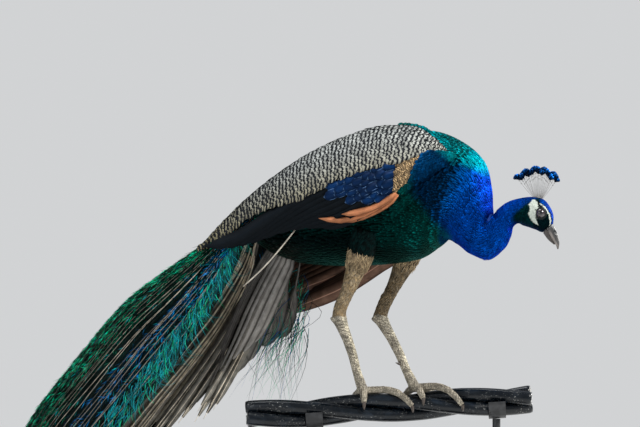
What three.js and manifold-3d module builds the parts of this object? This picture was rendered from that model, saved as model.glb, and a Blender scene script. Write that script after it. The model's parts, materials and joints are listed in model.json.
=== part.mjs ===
// A male Indian peafowl at life size, head lowered, gripping a cut length of twisted cable that a plain
// display stand holds up. Millimetres, +Z up. +X points the way the bird faces and +Y to its left side.
// The origin lies on the underside of the stand's base, below the middle of the two feet.
import * as THREE from 'three';
import { mergeVertices } from 'three/addons/utils/BufferGeometryUtils.js';
import Module from 'manifold-3d';

const wasm = await Module();
wasm.setup();

// ---------------------------------------------------------------- driving dimensions
const gap = 0.35; // clearance that neighbouring pieces keep
// Sides round each loft and rings along it. `perRow` rings go to each stretch between two rows.
const detail = {
  body: { around: 18, perRow: 1.5 },
  bill: { around: 14, upper: 8, lower: 6 },
  crest: { quill: 3, paddle: [5, 4] },
  wing: { around: 12, rings: 12 },
  plumes: { around: 18, perRow: 1 },
  thigh: { around: 12, rings: 6 },
  shank: { around: 8, rings: 7 },
  toe: { around: 6, rings: 7 },
  claw: { around: 6, rings: 3 },
  strand: { around: 8, rings: 15 },
  ball: [9, 6],
  flange: 20,
  rod: 16,
  corner: 4,
  cradle: 10,
};
const perchHeight = 640; // the bird's own zero level, at its soles, above the origin

const perch = {
  yaw: THREE.MathUtils.degToRad(20), // the cable runs this far round from the way the bird faces
  rise: THREE.MathUtils.degToRad(3.4),
  axisDrop: 37, // middle of the bundle, below the soles
  strands: 3,
  strandRadius: 13.5,
  pitch: 600, // length of one full twist
  firstAngle: THREE.MathUtils.degToRad(35),
  from: -285,
  to: 285,
};
perch.layRadius = (perch.strandRadius * 2) / Math.sqrt(3) + 3 * gap; // strand middles round the bundle's axis
perch.envelope = perch.layRadius + perch.strandRadius;

const stand = {
  length: 700,
  width: 400,
  thick: 20,
  cornerRadius: 40,
  bevel: 3,
  middleX: -105,
  rodRadius: 8,
  posts: { rear: -150, front: 215 }, // places along the cable
  cradleLength: 34,
  cradleWall: 5,
  flangeRadius: 24,
  flangeThick: 6,
};

// Outline of head, neck and trunk in the bird's middle plane: the back line, the under line, half the width.
const billRoot = { back: [345, 331], under: [323, 315], half: 8 };
const brow = { back: [345, 350], under: [317, 316], half: 14 };
const crown = { back: [338, 367], under: [310, 319], half: 18.5 };
const hindCrown = { back: [324, 382], under: [298, 323], half: 21.5 };
const cheek = { back: [301, 387], under: [284, 327], half: 21 };
const nape = { back: [277, 386], under: [271, 330], half: 22 };
const upperThroat = { back: [253, 381], under: [260, 320], half: 25 };
const throat = { back: [234, 370], under: [256, 302], half: 30 };
const neckBend = { back: [221, 357], under: [244, 279], half: 36 };
const crop = { back: [216, 356], under: [212, 256], half: 43 };
const lowerNeck = { back: [216, 376], under: [174, 265], half: 52 };
const neckBase = { back: [215, 408], under: [144, 285], half: 64 };
const mantle = { back: [202, 458], under: [122, 293], half: 79 };
const shoulders = { back: [165, 496], under: [102, 277], half: 92 };
const breast = { back: [104, 523], under: [68, 254], half: 103 };
const chest = { back: [34, 522], under: [15, 243], half: 108 };
const back = { back: [-51, 505], under: [-57, 238], half: 108 };
const loin = { back: [-136, 467], under: [-132, 238], half: 101 };
const hip = { back: [-204, 429], under: [-196, 245], half: 86 };
const vent = { back: [-262, 388], under: [-245, 263], half: 66 };
const rump = { back: [-305, 352], under: [-282, 290], half: 42 };
const rumpEnd = { back: [-330, 328], under: [-305, 308], half: 18 };
const headEnd = 4.6; // partings between the nodes, as places along the rows of the body
const upperNeckEnd = 9;
const trunkStart = 12.6;
const body = [billRoot, brow, crown, hindCrown, cheek, nape, upperThroat, throat, neckBend, crop, lowerNeck,
  neckBase, mantle, shoulders, breast, chest, back, loin, hip, vent, rump, rumpEnd];

// Bill: top line, lower line and half the width, from its root in the face to its tip.
const bill = {
  upper: [
    { back: [346, 330], under: [331, 320], half: 7.4 },
    { back: [353, 314], under: [340, 305], half: 5.6 },
    { back: [357.5, 297], under: [349, 292], half: 3.4 },
    { back: [356, 283], under: [353.5, 282], half: 0.8 },
  ],
  lower: [
    { back: [334, 323], under: [324, 314], half: 6.6 },
    { back: [343.5, 307], under: [334, 301], half: 4.8 },
    { back: [349.5, 293], under: [346.5, 291], half: 1.2 },
  ],
};
const eye = { x: 322, z: 355, side: 13, radius: 8 };
const crest = {
  root: [314, 386],
  quills: 11,
  length: 62,
  lengthFall: 6, // the rearmost quill is this much longer than the foremost
  back: -51, // degrees from upright of the rearmost and foremost quill
  front: 51,
  spread: 7, // sideways lean of every other quill, degrees
  quillRadius: 0.8,
  base: [9, 3.5, 3.5], // half sizes of the tuft that the quills stand in
  paddle: [4.6, 2, 8], // half sizes of a paddle across, through and along the quill
};

// Wings: top edge, under edge, how far the middle bulges outwards, and the wing's thickness.
const wingTop = [[156, 60, 484], [112, 44, 508], [63, 34, 525], [-8, 30, 525], [-83, 30, 504], [-157, 30, 471],
  [-221, 30, 433], [-284, 32, 387], [-329, 38, 346], [-372, 47, 298]];
const foldedUnder = [[156, 72, 458], [102, 98, 414], [60, 114, 382], [14, 121, 357], [-51, 121, 333],
  [-119, 114, 328], [-184, 101, 316], [-251, 83, 296], [-308, 67, 284], [-366, 54, 282]];
const droopedUnder = [[152, 82, 440], [108, 108, 352], [84, 116, 292], [16, 122, 260], [-58, 124, 226],
  [-125, 120, 187], [-194, 113, 159], [-268, 98, 142], [-318, 78, 200], [-362, 58, 268]];
const wingBulge = [3, 20, 30, 35, 36, 33, 27, 19, 11, 4];
const wingThickness = [5, 12, 16, 17, 17, 16, 14, 11, 8, 5];
const wingClearance = 2; // the body keeps this far from the twisted blade of a wing
const cutterDepth = 60; // how far outwards a wing's bed is cut

// Arched plumes: ridge line, side edges, half the width, and thickness at the ridge.
const trainRows = [
  { ridge: [-272, 392], edge: [-250, 356], half: 34, thick: 38 },
  { ridge: [-338, 342], edge: [-296, 290], half: 62, thick: 52 },
  { ridge: [-392, 292], edge: [-317, 230], half: 84, thick: 46 },
  { ridge: [-479, 235], edge: [-370, 130], half: 104, thick: 32 },
  { ridge: [-560, 177], edge: [-424, 50], half: 117, thick: 24 },
  { ridge: [-626, 108], edge: [-466, -6], half: 124, thick: 25 },
  { ridge: [-688, 36], edge: [-512, -62], half: 130, thick: 25 },
  { ridge: [-755, -44], edge: [-577, -140], half: 140, thick: 24 },
  { ridge: [-809, -134], edge: [-640, -228], half: 150, thick: 22 },
  { ridge: [-852, -232], edge: [-702, -314], half: 154, thick: 19 },
  { ridge: [-889, -336], edge: [-762, -400], half: 146, thick: 15 },
  { ridge: [-918, -436], edge: [-820, -482], half: 112, thick: 11 },
  { ridge: [-940, -534], edge: [-872, -556], half: 52, thick: 7 },
];
const trainLengths = { train_base: [0, 4], train_middle: [4, 8], train_end: [8, 12] };
const tailRows = [
  { ridge: [-214, 330], edge: [-186, 268], half: 22, thick: 14 },
  { ridge: [-270, 248], edge: [-196, 210], half: 40, thick: 13 },
  { ridge: [-311, 168], edge: [-209, 164], half: 55, thick: 11 },
  { ridge: [-349, 78], edge: [-223, 128], half: 66, thick: 9 },
  { ridge: [-386, -8], edge: [-246, 92], half: 74, thick: 6 },
];
const plumeTips = { train: { count: 9, length: 16 }, tail: { count: 9, length: 14 } };
const plumeEdge = 0.4; // thickness at the side edges, as a share of that at the ridge
const hollowDepth = 0.3; // the hollow is cut this far past the chord, as a share of the arch's rise

// Legs: middle line and radius from the top of the feathered thigh to the ankle joint and to the foot.
const thighs = {
  right: { path: [[-26, -58, 316], [-46, -55, 254], [-70, -48, 198], [-86, -44, 166], [-91, -42, 147]],
    radius: [40, 27, 19.5, 17.5, 16.5] },
  left: { path: [[40, 56, 316], [17, 49, 254], [-5, 46, 206], [-23, 41, 170], [-32, 39, 146]],
    radius: [40, 27, 19.5, 17.5, 16.5] },
};
const hockRise = 5; // the shank's end above the hock
const straightEnd = 12; // the shank's last stretch, in line with the ankle
const shankRadius = [16, 15, 11.2, 9.8, 9.4, 10.4];
const ankleLength = 26; // the lowest stretch of the shank belongs to the foot
// Spur: place along the shank, reach from the shank's middle line, lean inwards, rise of its tip and sag.
const spur = { place: 0.66, reach: 20, inwards: 1.3, lift: 3, sag: 1.5, radii: [4.2, 3.2, 0.6] };
const toeRadii = [8.6, 8.2, 8, 7.6, 5.8];
const toeRest = perch.envelope + 5.8; // a toe's middle line lies this far from the bundle's axis
const clawRadii = [4.2, 3.7, 2.5, 0.5];
const clawLength = 17;
// Shares of the claw's length that run along and round the bundle, its arch, and how far its point dips in.
const clawCurl = { along: 0.1, round: 0.8, arch: 1.5, dip: 3.4, longRun: 80 };
const palmHeight = 6.6; // middle of the palm above the bundle
const palmSize = [15.5, 12.5, 9.6]; // half sizes
const ankleRadii = [10.4, 11.6];
const bow = 4; // the shank bends forwards by this much in the middle

// Toes wrap the bundle: run along it, and start and end angle round it, from the top to the right side. A higher
// wrap keeps a toe on top for longer before it turns down.
const feet = {
  right: {
    at: -52,
    hock: [-91, -42, 141],
    toes: {
      inner: { run: 38, start: -12, end: -94, arch: 3 },
      middle: { run: 98, start: -2, end: 86, arch: 0.5, wrap: 2.4 },
      outer: { run: 2, start: 8, end: 66, arch: 0 },
      hind: { run: -26, start: -16, end: -78, arch: 2 },
    },
  },
  left: {
    at: 52,
    hock: [-32.5, 38.5, 140],
    toes: {
      inner: { run: 16, start: 8, end: 64, arch: 2 },
      middle: { run: 94, start: -4, end: 93, arch: 1.5, wrap: 2.3 },
      outer: { run: 60, start: -14, end: -90, arch: 3 },
      hind: { run: -24, start: -16, end: -74, arch: 2 },
    },
  },
};

// ---------------------------------------------------------------- materials
function finish(color, roughness, metalness = 0) {
  return new THREE.MeshStandardMaterial({ color, roughness, metalness });
}
const finishes = {
  neck: finish(0x0a3fae, 0.5),
  trunk: finish(0x0d3d3a, 0.6),
  wing: finish(0x8d866f, 0.65),
  farWing: finish(0x5f3c2c, 0.65),
  thigh: finish(0x96805f, 0.8),
  tail: finish(0x5f5850, 0.7),
  train: finish(0x0c6a4c, 0.5),
  crest: finish(0x12307c, 0.5),
  eye: finish(0x1c0f08, 0.1),
  bill: finish(0x8b857c, 0.45),
  leg: finish(0x9a8b78, 0.6),
  claw: finish(0x3b342d, 0.4),
  cable: finish(0x14181d, 0.45),
  stand: finish(0x2b2c2e, 0.5, 0.2),
};

// ---------------------------------------------------------------- closed solids
/** A manifold solid of a closed three.js geometry, turned the right way out. */
function solid(geometry) {
  let source = geometry.clone();
  source.deleteAttribute('normal');
  source.deleteAttribute('uv');
  source = mergeVertices(source, 1e-3);
  const vertProperties = new Float32Array(source.attributes.position.array);
  const triVerts = new Uint32Array(source.index.array);
  if (volume(vertProperties, triVerts) < 0) {
    triVerts.reverse();
  }
  return new wasm.Manifold(new wasm.Mesh({ numProp: 3, vertProperties, triVerts }));
}

function volume(vertices, triangles) {
  const corner = (i) => new THREE.Vector3().fromArray(vertices, 3 * triangles[i]);
  let sum = 0;
  for (let i = 0; i < triangles.length; i += 3) sum += corner(i).dot(corner(i + 1).cross(corner(i + 2)));
  return sum / 6;
}

/** A named mesh of a manifold solid. */
function piece(name, shape, material) {
  const { vertProperties, triVerts } = shape.getMesh();
  const geometry = new THREE.BufferGeometry();
  geometry.setAttribute('position', new THREE.BufferAttribute(new Float32Array(vertProperties), 3));
  geometry.setIndex(new THREE.BufferAttribute(new Uint32Array(triVerts), 1));
  geometry.computeVertexNormals();
  const mesh = new THREE.Mesh(geometry, material);
  mesh.name = name;
  return mesh;
}

/** Bends a cylinder: `section(along)` gives the function that places a point of that ring by angle and rim. */
function bentCylinder(around, rings, section) {
  const geometry = new THREE.CylinderGeometry(1, 1, 1, around, rings);
  const position = geometry.attributes.position;
  for (let i = 0; i < position.count; i++) {
    const along = 0.5 - position.getY(i);
    const angle = Math.atan2(position.getX(i), position.getZ(i));
    const rim = Math.round(Math.hypot(position.getX(i), position.getZ(i)));
    const point = section(along)(angle, rim);
    position.setXYZ(i, point.x, point.y, point.z);
  }
  return solid(geometry);
}

/** Smooth value along a list of numbers, points or rows, at a place from 0 to the last index. */
function smooth(values, place) {
  const points = values.map((value) => (Array.isArray(value) ? new THREE.Vector3(...value) :
    new THREE.Vector3(value, 0, 0)));
  const curve = new THREE.CatmullRomCurve3(points, false, 'catmullrom', 0.5);
  const point = curve.getPoint(place / (values.length - 1));
  return Array.isArray(values[0]) ? point : point.x;
}

const inMiddlePlane = ([x, z]) => [x, 0, z];

/**
 * Places a section's point: `a` and `b` are the ends of its chord, `outwards` the bulge on one side and
 * `inwards` the bulge on the other, as a share of it. -1 gives an ellipse, a positive share a crescent.
 */
function chordSection(a, b, outwards, inwards) {
  const middle = a.clone().add(b).multiplyScalar(0.5);
  const halfChord = a.clone().sub(b).multiplyScalar(0.5);
  return (angle, rim) => {
    const lift = Math.sin(angle) > 0 ? Math.sin(angle) : Math.abs(Math.sin(angle)) * inwards;
    const centre = middle.clone().addScaledVector(outwards, 0.5 * (1 + inwards));
    const point = middle.clone().addScaledVector(halfChord, Math.cos(angle)).addScaledVector(outwards, lift);
    return rim ? point : centre;
  };
}

/** A stretch of the head, neck and trunk between two rows of the outline. */
function bodySolid(from, to, grow = 0) {
  const rings = Math.round((to - from) * detail.body.perRow);
  return bentCylinder(detail.body.around, rings, (along) => {
    const place = from + (to - from) * along;
    const a = smooth(body.map((row) => inMiddlePlane(row.back)), place);
    const b = smooth(body.map((row) => inMiddlePlane(row.under)), place);
    const across = a.clone().sub(b).normalize();
    const forwards = new THREE.Vector3(across.z, 0, -across.x);
    const ended = (along === 0) - (along === 1);
    const shift = forwards.multiplyScalar(ended * (grow - gap / 2));
    a.addScaledVector(across, grow).add(shift);
    b.addScaledVector(across, -grow).add(shift);
    const half = smooth(body.map((row) => row.half), place) + grow;
    return chordSection(a, b, new THREE.Vector3(0, half, 0), -1);
  });
}

/** A loft along rows of back line, under line and half width that ends in a blunt tip. */
function rowSolid(rows, rings, grow = 0) {
  return bentCylinder(detail.bill.around, rings, (along) => {
    const place = along * (rows.length - 1);
    const a = smooth(rows.map((row) => inMiddlePlane(row.back)), place);
    const b = smooth(rows.map((row) => inMiddlePlane(row.under)), place);
    const across = a.clone().sub(b).normalize();
    a.addScaledVector(across, grow);
    b.addScaledVector(across, -grow);
    return chordSection(a, b, new THREE.Vector3(0, smooth(rows.map((row) => row.half), place) + grow, 0), -1);
  });
}

/** A wing on one side (-1 right, 1 left). A cutter is the same wing with clearance, thickened outwards. */
function wingSolid(side, under, cutter = 0) {
  const clear = cutter ? wingClearance : 0;
  return bentCylinder(detail.wing.around, detail.wing.rings, (along) => {
    const place = along * (wingTop.length - 1);
    const a = smooth(wingTop, place);
    const b = smooth(under, place);
    a.y *= side;
    b.y *= side;
    const across = a.clone().sub(b).normalize();
    const outwards = new THREE.Vector3(0, across.z, -across.y).normalize().multiplyScalar(side);
    const shift = outwards.clone().multiplyScalar(-clear).setX(((along === 0) - (along === 1)) * clear);
    a.addScaledVector(across, clear).add(shift);
    b.addScaledVector(across, -clear).add(shift);
    const bulge = smooth(wingBulge, place) + smooth(wingExtra(under), place);
    const inner = bulge - smooth(wingThickness, place);
    const outer = bulge + cutter;
    return chordSection(a, b, outwards.multiplyScalar(outer), inner / outer);
  });
}

/** A longer wing blade bulges a little more. */
function wingExtra(under) {
  return under.map((point, i) => 0.1 * (foldedUnder[i][2] - point[2]));
}

/** An arched stretch of plumes between two rows, its last ring broken into feather tips. */
function plumeSolid(rows, from, to, tips) {
  return plumeVault(rows, from, to, tips, false).subtract(plumeVault(rows, from, to, tips, true));
}

/** The plumes as a filled vault on its flat chord, or the hollow under them, which runs past both ends. */
function plumeVault(rows, from, to, tips, hollow) {
  const rings = Math.round((to - from) * detail.plumes.perRow);
  return bentCylinder(detail.plumes.around, rings, (along) => {
    const place = from + (to - from) * along;
    const ridge = smooth(rows.map((row) => inMiddlePlane(row.ridge)), place);
    const edge = smooth(rows.map((row) => inMiddlePlane(row.edge)), place);
    const wall = hollow ? smooth(rows.map((row) => row.thick), place) : 0;
    const halfWidth = smooth(rows.map((row) => row.half), place) - wall * plumeEdge;
    const half = new THREE.Vector3(0, halfWidth, 0);
    const rise = ridge.clone().sub(edge);
    const up = rise.clone().setLength(rise.length() - wall);
    const backwards = new THREE.Vector3(-up.z, 0, up.x).normalize();
    const ended = (along === 0) - (along === 1);
    const shift = backwards.clone().multiplyScalar(ended * (hollow ? -2 * tips.length : gap / 2));
    const depth = hollow ? hollowDepth : 0;
    edge.add(shift);
    const section = chordSection(edge.clone().sub(half), edge.clone().add(half), up, -depth);
    const jagged = !hollow && to === rows.length - 1 && along === 1;
    return (angle, rim) => {
      const tip = jagged ? tips.length * Math.abs(Math.cos(angle * tips.count * 0.5)) : 0;
      return section(angle, rim).addScaledVector(backwards, tip * rim);
    };
  });
}

/** A round limb along a smooth line of points, with its radius at each. */
function limb(points, radii, { around, rings }, grow = 0) {
  const curve = new THREE.CatmullRomCurve3(points);
  const reference = new THREE.Vector3(0, 1, 0.2).normalize();
  return bentCylinder(around, rings, (along) => {
    const radius = smooth(radii, along * (radii.length - 1)) + grow;
    const heading = curve.getTangent(along);
    const side = heading.clone().cross(reference).normalize().multiplyScalar(radius);
    const other = side.clone().cross(heading);
    return chordSection(curve.getPoint(along).add(side), curve.getPoint(along).sub(side), other, -1);
  });
}

function ball(centre, radii, turn = new THREE.Euler(), sides = detail.ball) {
  const geometry = new THREE.SphereGeometry(1, ...sides);
  const placed = new THREE.Matrix4().compose(centre, new THREE.Quaternion().setFromEuler(turn),
    new THREE.Vector3(...radii));
  return solid(geometry.applyMatrix4(placed));
}

const joined = (shapes) => shapes.reduce((sum, shape) => sum.add(shape));

// ---------------------------------------------------------------- perch
const perchAlong = new THREE.Vector3(Math.cos(perch.yaw), Math.sin(perch.yaw), Math.tan(perch.rise));
const perchSide = new THREE.Vector3(Math.sin(perch.yaw), -Math.cos(perch.yaw), 0);
const upwards = new THREE.Vector3(0, 0, 1);

/** A point at a place along the bundle, an angle round it from the top to its right side, and a radius. */
function onPerch(place, angle, radius) {
  return perchAlong.clone().multiplyScalar(place)
    .addScaledVector(upwards, radius * Math.cos(angle) - perch.axisDrop)
    .addScaledVector(perchSide, radius * Math.sin(angle));
}

function strand(index, grow = 0) {
  const steps = detail.strand.rings;
  const turn = (2 * Math.PI) / perch.strands;
  const points = Array.from({ length: steps + 1 }, (_, i) => {
    const place = perch.from + ((perch.to - perch.from) * i) / steps;
    const angle = perch.firstAngle + turn * index + (2 * Math.PI * place) / perch.pitch;
    return onPerch(place, angle, perch.layRadius);
  });
  return limb(points, [perch.strandRadius, perch.strandRadius], detail.strand, grow);
}

// ---------------------------------------------------------------- bird
function addHeadAndBody(bird, wings) {
  const eyeBall = (side, grow = 0) => ball(new THREE.Vector3(eye.x, side * eye.side, eye.z),
    Array(3).fill(eye.radius + grow));
  const head = bodySolid(0, headEnd).subtract(eyeBall(1, gap)).subtract(eyeBall(-1, gap));
  bird.add(piece('head', head, finishes.neck));
  bird.add(piece('neck_upper', bodySolid(headEnd, upperNeckEnd), finishes.neck));
  bird.add(piece('neck_lower', bodySolid(upperNeckEnd, trunkStart), finishes.neck));
  const trunk = bodySolid(trunkStart, body.length - 1).subtract(wings.rightCutter).subtract(wings.leftCutter);
  bird.add(piece('trunk', trunk, finishes.trunk));
  bird.add(piece('eye_right', eyeBall(-1), finishes.eye));
  bird.add(piece('eye_left', eyeBall(1), finishes.eye));
}

function addBill(bird) {
  const root = bodySolid(0, headEnd, gap);
  const upper = rowSolid(bill.upper, detail.bill.upper).subtract(root);
  const upperClear = rowSolid(bill.upper, detail.bill.upper, gap);
  const lower = rowSolid(bill.lower, detail.bill.lower).subtract(root).subtract(upperClear);
  bird.add(piece('bill_upper', upper, finishes.bill));
  bird.add(piece('bill_lower', lower, finishes.bill));
}

function addCrest(bird) {
  const root = new THREE.Vector3(...inMiddlePlane(crest.root));
  const quills = [ball(root, crest.base)];
  for (let i = 0; i < crest.quills; i++) {
    const lean = THREE.MathUtils.degToRad(crest.back + ((crest.front - crest.back) * i) / (crest.quills - 1));
    const sideways = THREE.MathUtils.degToRad(crest.spread) * (i % 2 ? 1 : -1);
    const turn = new THREE.Euler(-sideways, lean, 0, 'XYZ');
    const heading = upwards.clone().applyEuler(turn);
    const length = crest.length + crest.lengthFall * (0.5 - i / (crest.quills - 1));
    const top = root.clone().addScaledVector(heading, length - crest.paddle[2]);
    const radii = [crest.quillRadius, crest.quillRadius];
    quills.push(limb([root, top], radii, { around: detail.crest.quill, rings: 1 }));
    quills.push(ball(top, crest.paddle, turn, detail.crest.paddle));
  }
  bird.add(piece('crest', joined(quills).subtract(bodySolid(0, headEnd, gap)), finishes.crest));
}

function makeWings() {
  return {
    right: wingSolid(-1, foldedUnder),
    left: wingSolid(1, droopedUnder),
    rightCutter: wingSolid(-1, foldedUnder, cutterDepth),
    leftCutter: wingSolid(1, droopedUnder, cutterDepth),
  };
}

function addPlumes(bird, wings) {
  const trunk = bodySolid(trunkStart, body.length - 1, gap);
  for (const [name, [from, to]] of Object.entries(trainLengths)) {
    const plumes = plumeSolid(trainRows, from, to, plumeTips.train);
    const cut = from ? plumes : plumes.subtract(trunk).subtract(wings.rightCutter).subtract(wings.leftCutter);
    bird.add(piece(name, cut, finishes.train));
  }
  const tail = plumeSolid(tailRows, 0, tailRows.length - 1, plumeTips.tail).subtract(trunk);
  bird.add(piece('tail', tail, finishes.tail));
}

function addLeg(bird, side, cables) {
  const { at, hock, toes } = feet[side];
  const { path, radius } = thighs[side];
  const trunk = bodySolid(trunkStart, body.length - 1, gap);
  const thigh = limb(path.map((point) => new THREE.Vector3(...point)), radius, detail.thigh);
  bird.add(piece(`thigh_${side}`, thigh.subtract(trunk), finishes.thigh));

  const hockPoint = new THREE.Vector3(...hock);
  const palm = onPerch(at, 0, perch.envelope + palmHeight);
  const heading = palm.clone().sub(hockPoint).normalize();
  const ankle = palm.clone().addScaledVector(heading, -ankleLength);
  const shankTop = hockPoint.clone().addScaledVector(heading, -hockRise);
  const shankMiddle = hockPoint.clone().lerp(ankle, 0.5).add(new THREE.Vector3(bow, 0, 0));
  const shankPath = [shankTop, hockPoint, shankMiddle, ankle.clone().addScaledVector(heading, -straightEnd),
    ankle.clone().addScaledVector(heading, -2 * gap)];
  const shank = limb(shankPath, shankRadius, detail.shank);
  const thighClear = limb(path.map((point) => new THREE.Vector3(...point)), radius, detail.thigh, gap);
  bird.add(piece(`shank_${side}`, shank.subtract(thighClear), finishes.leg));

  addSpur(bird, side, shankPath, limb(shankPath, shankRadius, detail.shank, gap));

  const ankleEnd = palm.clone().addScaledVector(heading, -2);
  const ankleSides = { around: detail.shank.around, rings: 1 };
  const foot = [limb([ankle, ankleEnd], ankleRadii, ankleSides), ball(palm, palmSize)];
  for (const toe of Object.values(toes)) {
    foot.push(limb([0, 0.25, 0.5, 0.75, 1].map((share) => onToe(at, toe, share)), toeRadii, detail.toe));
  }
  const footSolid = joined(foot);
  bird.add(piece(`foot_${side}`, footSolid.subtract(cables), finishes.leg));
  for (const [name, toe] of Object.entries(toes)) {
    const claw = limb([0, 0.35, 0.7, 1].map((share) => onClaw(at, toe, share)), clawRadii, detail.claw);
    bird.add(piece(`claw_${name}_${side}`, claw.subtract(footSolid).subtract(cables), finishes.claw));
  }
}

/** The middle of a toe, which arches over the bundle and wraps faster towards its end. */
function onToe(at, toe, share) {
  const angle = THREE.MathUtils.degToRad(toe.start + (toe.end - toe.start) * share ** (toe.wrap ?? 1.25));
  return onPerch(at + toe.run * share, angle, toeRest + toe.arch * Math.sin(Math.PI * share));
}

/** The claw carries on from the toe's tip round the bundle and in towards it. */
function onClaw(at, toe, share) {
  const slant = Math.sign(toe.run) * Math.min(1, Math.abs(toe.run) / clawCurl.longRun);
  const along = clawCurl.along * clawLength * slant * share;
  const turn = (clawCurl.round * clawLength * Math.sign(toe.end) * share) / perch.envelope;
  const radius = toeRest + clawCurl.arch * Math.sin(Math.PI * share) - clawCurl.dip * share;
  return onPerch(at + toe.run + along, THREE.MathUtils.degToRad(toe.end) + turn, radius);
}

function addSpur(bird, side, shankPath, shankClear) {
  const curve = new THREE.CatmullRomCurve3(shankPath);
  const root = curve.getPoint(spur.place);
  const back = new THREE.Vector3(-1, side === 'right' ? spur.inwards : -spur.inwards, 0).normalize();
  const tip = root.clone().addScaledVector(back, spur.reach).addScaledVector(upwards, spur.lift);
  const middle = root.clone().lerp(tip, 0.5).addScaledVector(upwards, -spur.sag);
  const horn = limb([root, middle, tip], spur.radii, detail.claw);
  bird.add(piece(`spur_${side}`, horn.subtract(shankClear), finishes.claw));
}

// ---------------------------------------------------------------- stand
function standBase() {
  const { length, width, thick, cornerRadius: r, bevel } = stand;
  const x = length / 2 - bevel;
  const y = width / 2 - bevel;
  const outline = new THREE.Shape();
  outline.moveTo(-x + r, -y).lineTo(x - r, -y).absarc(x - r, -y + r, r, -Math.PI / 2, 0);
  outline.lineTo(x, y - r).absarc(x - r, y - r, r, 0, Math.PI / 2);
  outline.lineTo(-x + r, y).absarc(-x + r, y - r, r, Math.PI / 2, Math.PI);
  outline.lineTo(-x, -y + r).absarc(-x + r, -y + r, r, Math.PI, Math.PI * 1.5);
  const geometry = new THREE.ExtrudeGeometry(outline, { depth: thick - bevel * 2, bevelSize: bevel,
    bevelThickness: bevel, bevelSegments: 1, curveSegments: detail.corner });
  return solid(geometry.translate(stand.middleX, 0, bevel));
}

/** An upright rod on a round flange, with an open cradle on top that the bundle lies in. */
function addPost(bird, name, place) {
  const axis = onPerch(place, 0, 0);
  const boardTop = stand.thick + gap - perchHeight;
  const rodBottom = boardTop + stand.flangeThick + gap;
  const rodTop = axis.z - perch.envelope - stand.cradleWall - 2 * gap;
  const upright = (radius, bottom, top, sides) => {
    const geometry = new THREE.CylinderGeometry(radius, radius, top - bottom, sides);
    return solid(geometry.rotateX(Math.PI / 2).translate(axis.x, axis.y, (bottom + top) / 2));
  };
  const flange = upright(stand.flangeRadius, boardTop, rodBottom - gap, detail.flange);
  const rod = upright(stand.rodRadius, rodBottom, rodTop, detail.rod);
  bird.add(piece(`stand_flange_${name}`, flange, finishes.stand));
  bird.add(piece(`stand_rod_${name}`, rod, finishes.stand));

  const outline = new THREE.Shape();
  outline.absarc(0, 0, perch.envelope + stand.cradleWall, Math.PI, 2 * Math.PI);
  outline.absarc(0, 0, perch.envelope + 3 * gap, 2 * Math.PI, Math.PI, true);
  const cradle = new THREE.ExtrudeGeometry(outline, { depth: stand.cradleLength, bevelEnabled: false,
    curveSegments: detail.cradle });
  const side = perchSide.clone().negate();
  const raised = perchAlong.clone().normalize().cross(side);
  const turned = new THREE.Matrix4().makeBasis(side, raised, side.clone().cross(raised));
  cradle.translate(0, 0, -stand.cradleLength / 2).applyMatrix4(turned).translate(axis.x, axis.y, axis.z);
  bird.add(piece(`stand_cradle_${name}`, solid(cradle), finishes.stand));
}

// ---------------------------------------------------------------- assembly
const group = new THREE.Group();
const raised = new THREE.Group();
raised.position.z = perchHeight;
group.add(raised);

const wings = makeWings();
addHeadAndBody(raised, wings);
addBill(raised);
addCrest(raised);
raised.add(piece('wing_right', wings.right, finishes.wing));
raised.add(piece('wing_left', wings.left, finishes.farWing));
addPlumes(raised, wings);

const strands = Array.from({ length: perch.strands }, (_, index) => index);
const cables = joined(strands.map((index) => strand(index, gap)));
addLeg(raised, 'right', cables);
addLeg(raised, 'left', cables);
for (const index of strands) {
  raised.add(piece(`perch_cable_${index + 1}`, strand(index), finishes.cable));
}

group.add(piece('stand_base', standBase(), finishes.stand));
for (const [name, place] of Object.entries(stand.posts)) addPost(raised, name, place);

export default group;
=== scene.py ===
"""A male Indian peafowl at life size on a cut length of twisted cable: skin, plumage, legs, perch and stand."""

import json
import math

import bmesh
import bpy
import numpy as np
from bpy.props import FloatProperty, FloatVectorProperty, IntProperty, PointerProperty
from mathutils import Matrix, Vector
from mathutils.bvhtree import BVHTree

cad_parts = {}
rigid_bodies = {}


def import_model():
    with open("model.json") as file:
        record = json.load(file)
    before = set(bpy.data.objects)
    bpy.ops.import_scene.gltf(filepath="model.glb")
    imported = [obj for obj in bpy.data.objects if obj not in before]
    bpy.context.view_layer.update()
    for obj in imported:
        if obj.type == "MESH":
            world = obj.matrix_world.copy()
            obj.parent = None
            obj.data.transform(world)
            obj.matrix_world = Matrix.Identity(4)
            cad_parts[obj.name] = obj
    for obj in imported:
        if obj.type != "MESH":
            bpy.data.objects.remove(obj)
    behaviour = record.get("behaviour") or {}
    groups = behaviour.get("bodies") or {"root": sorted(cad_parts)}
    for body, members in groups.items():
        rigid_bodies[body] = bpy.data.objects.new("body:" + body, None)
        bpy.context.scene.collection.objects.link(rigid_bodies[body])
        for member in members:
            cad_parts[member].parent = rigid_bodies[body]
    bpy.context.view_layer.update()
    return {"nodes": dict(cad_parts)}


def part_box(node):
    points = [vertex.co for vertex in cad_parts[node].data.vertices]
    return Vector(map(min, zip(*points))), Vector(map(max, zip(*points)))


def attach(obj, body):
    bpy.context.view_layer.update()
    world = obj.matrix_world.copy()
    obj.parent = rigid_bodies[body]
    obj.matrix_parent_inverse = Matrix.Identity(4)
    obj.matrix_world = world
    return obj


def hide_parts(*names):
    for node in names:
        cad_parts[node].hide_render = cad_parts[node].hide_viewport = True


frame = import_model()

bl_info = {
    "name": "Peafowl plumage",
    "version": (1, 0, 0),
    "blender": (4, 5, 0),
    "location": "3D View > Sidebar > Peafowl",
    "description": "Builds the plumage, skin, legs, perch and stand of a life-size peafowl",
    "category": "Add Mesh",
}

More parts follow.
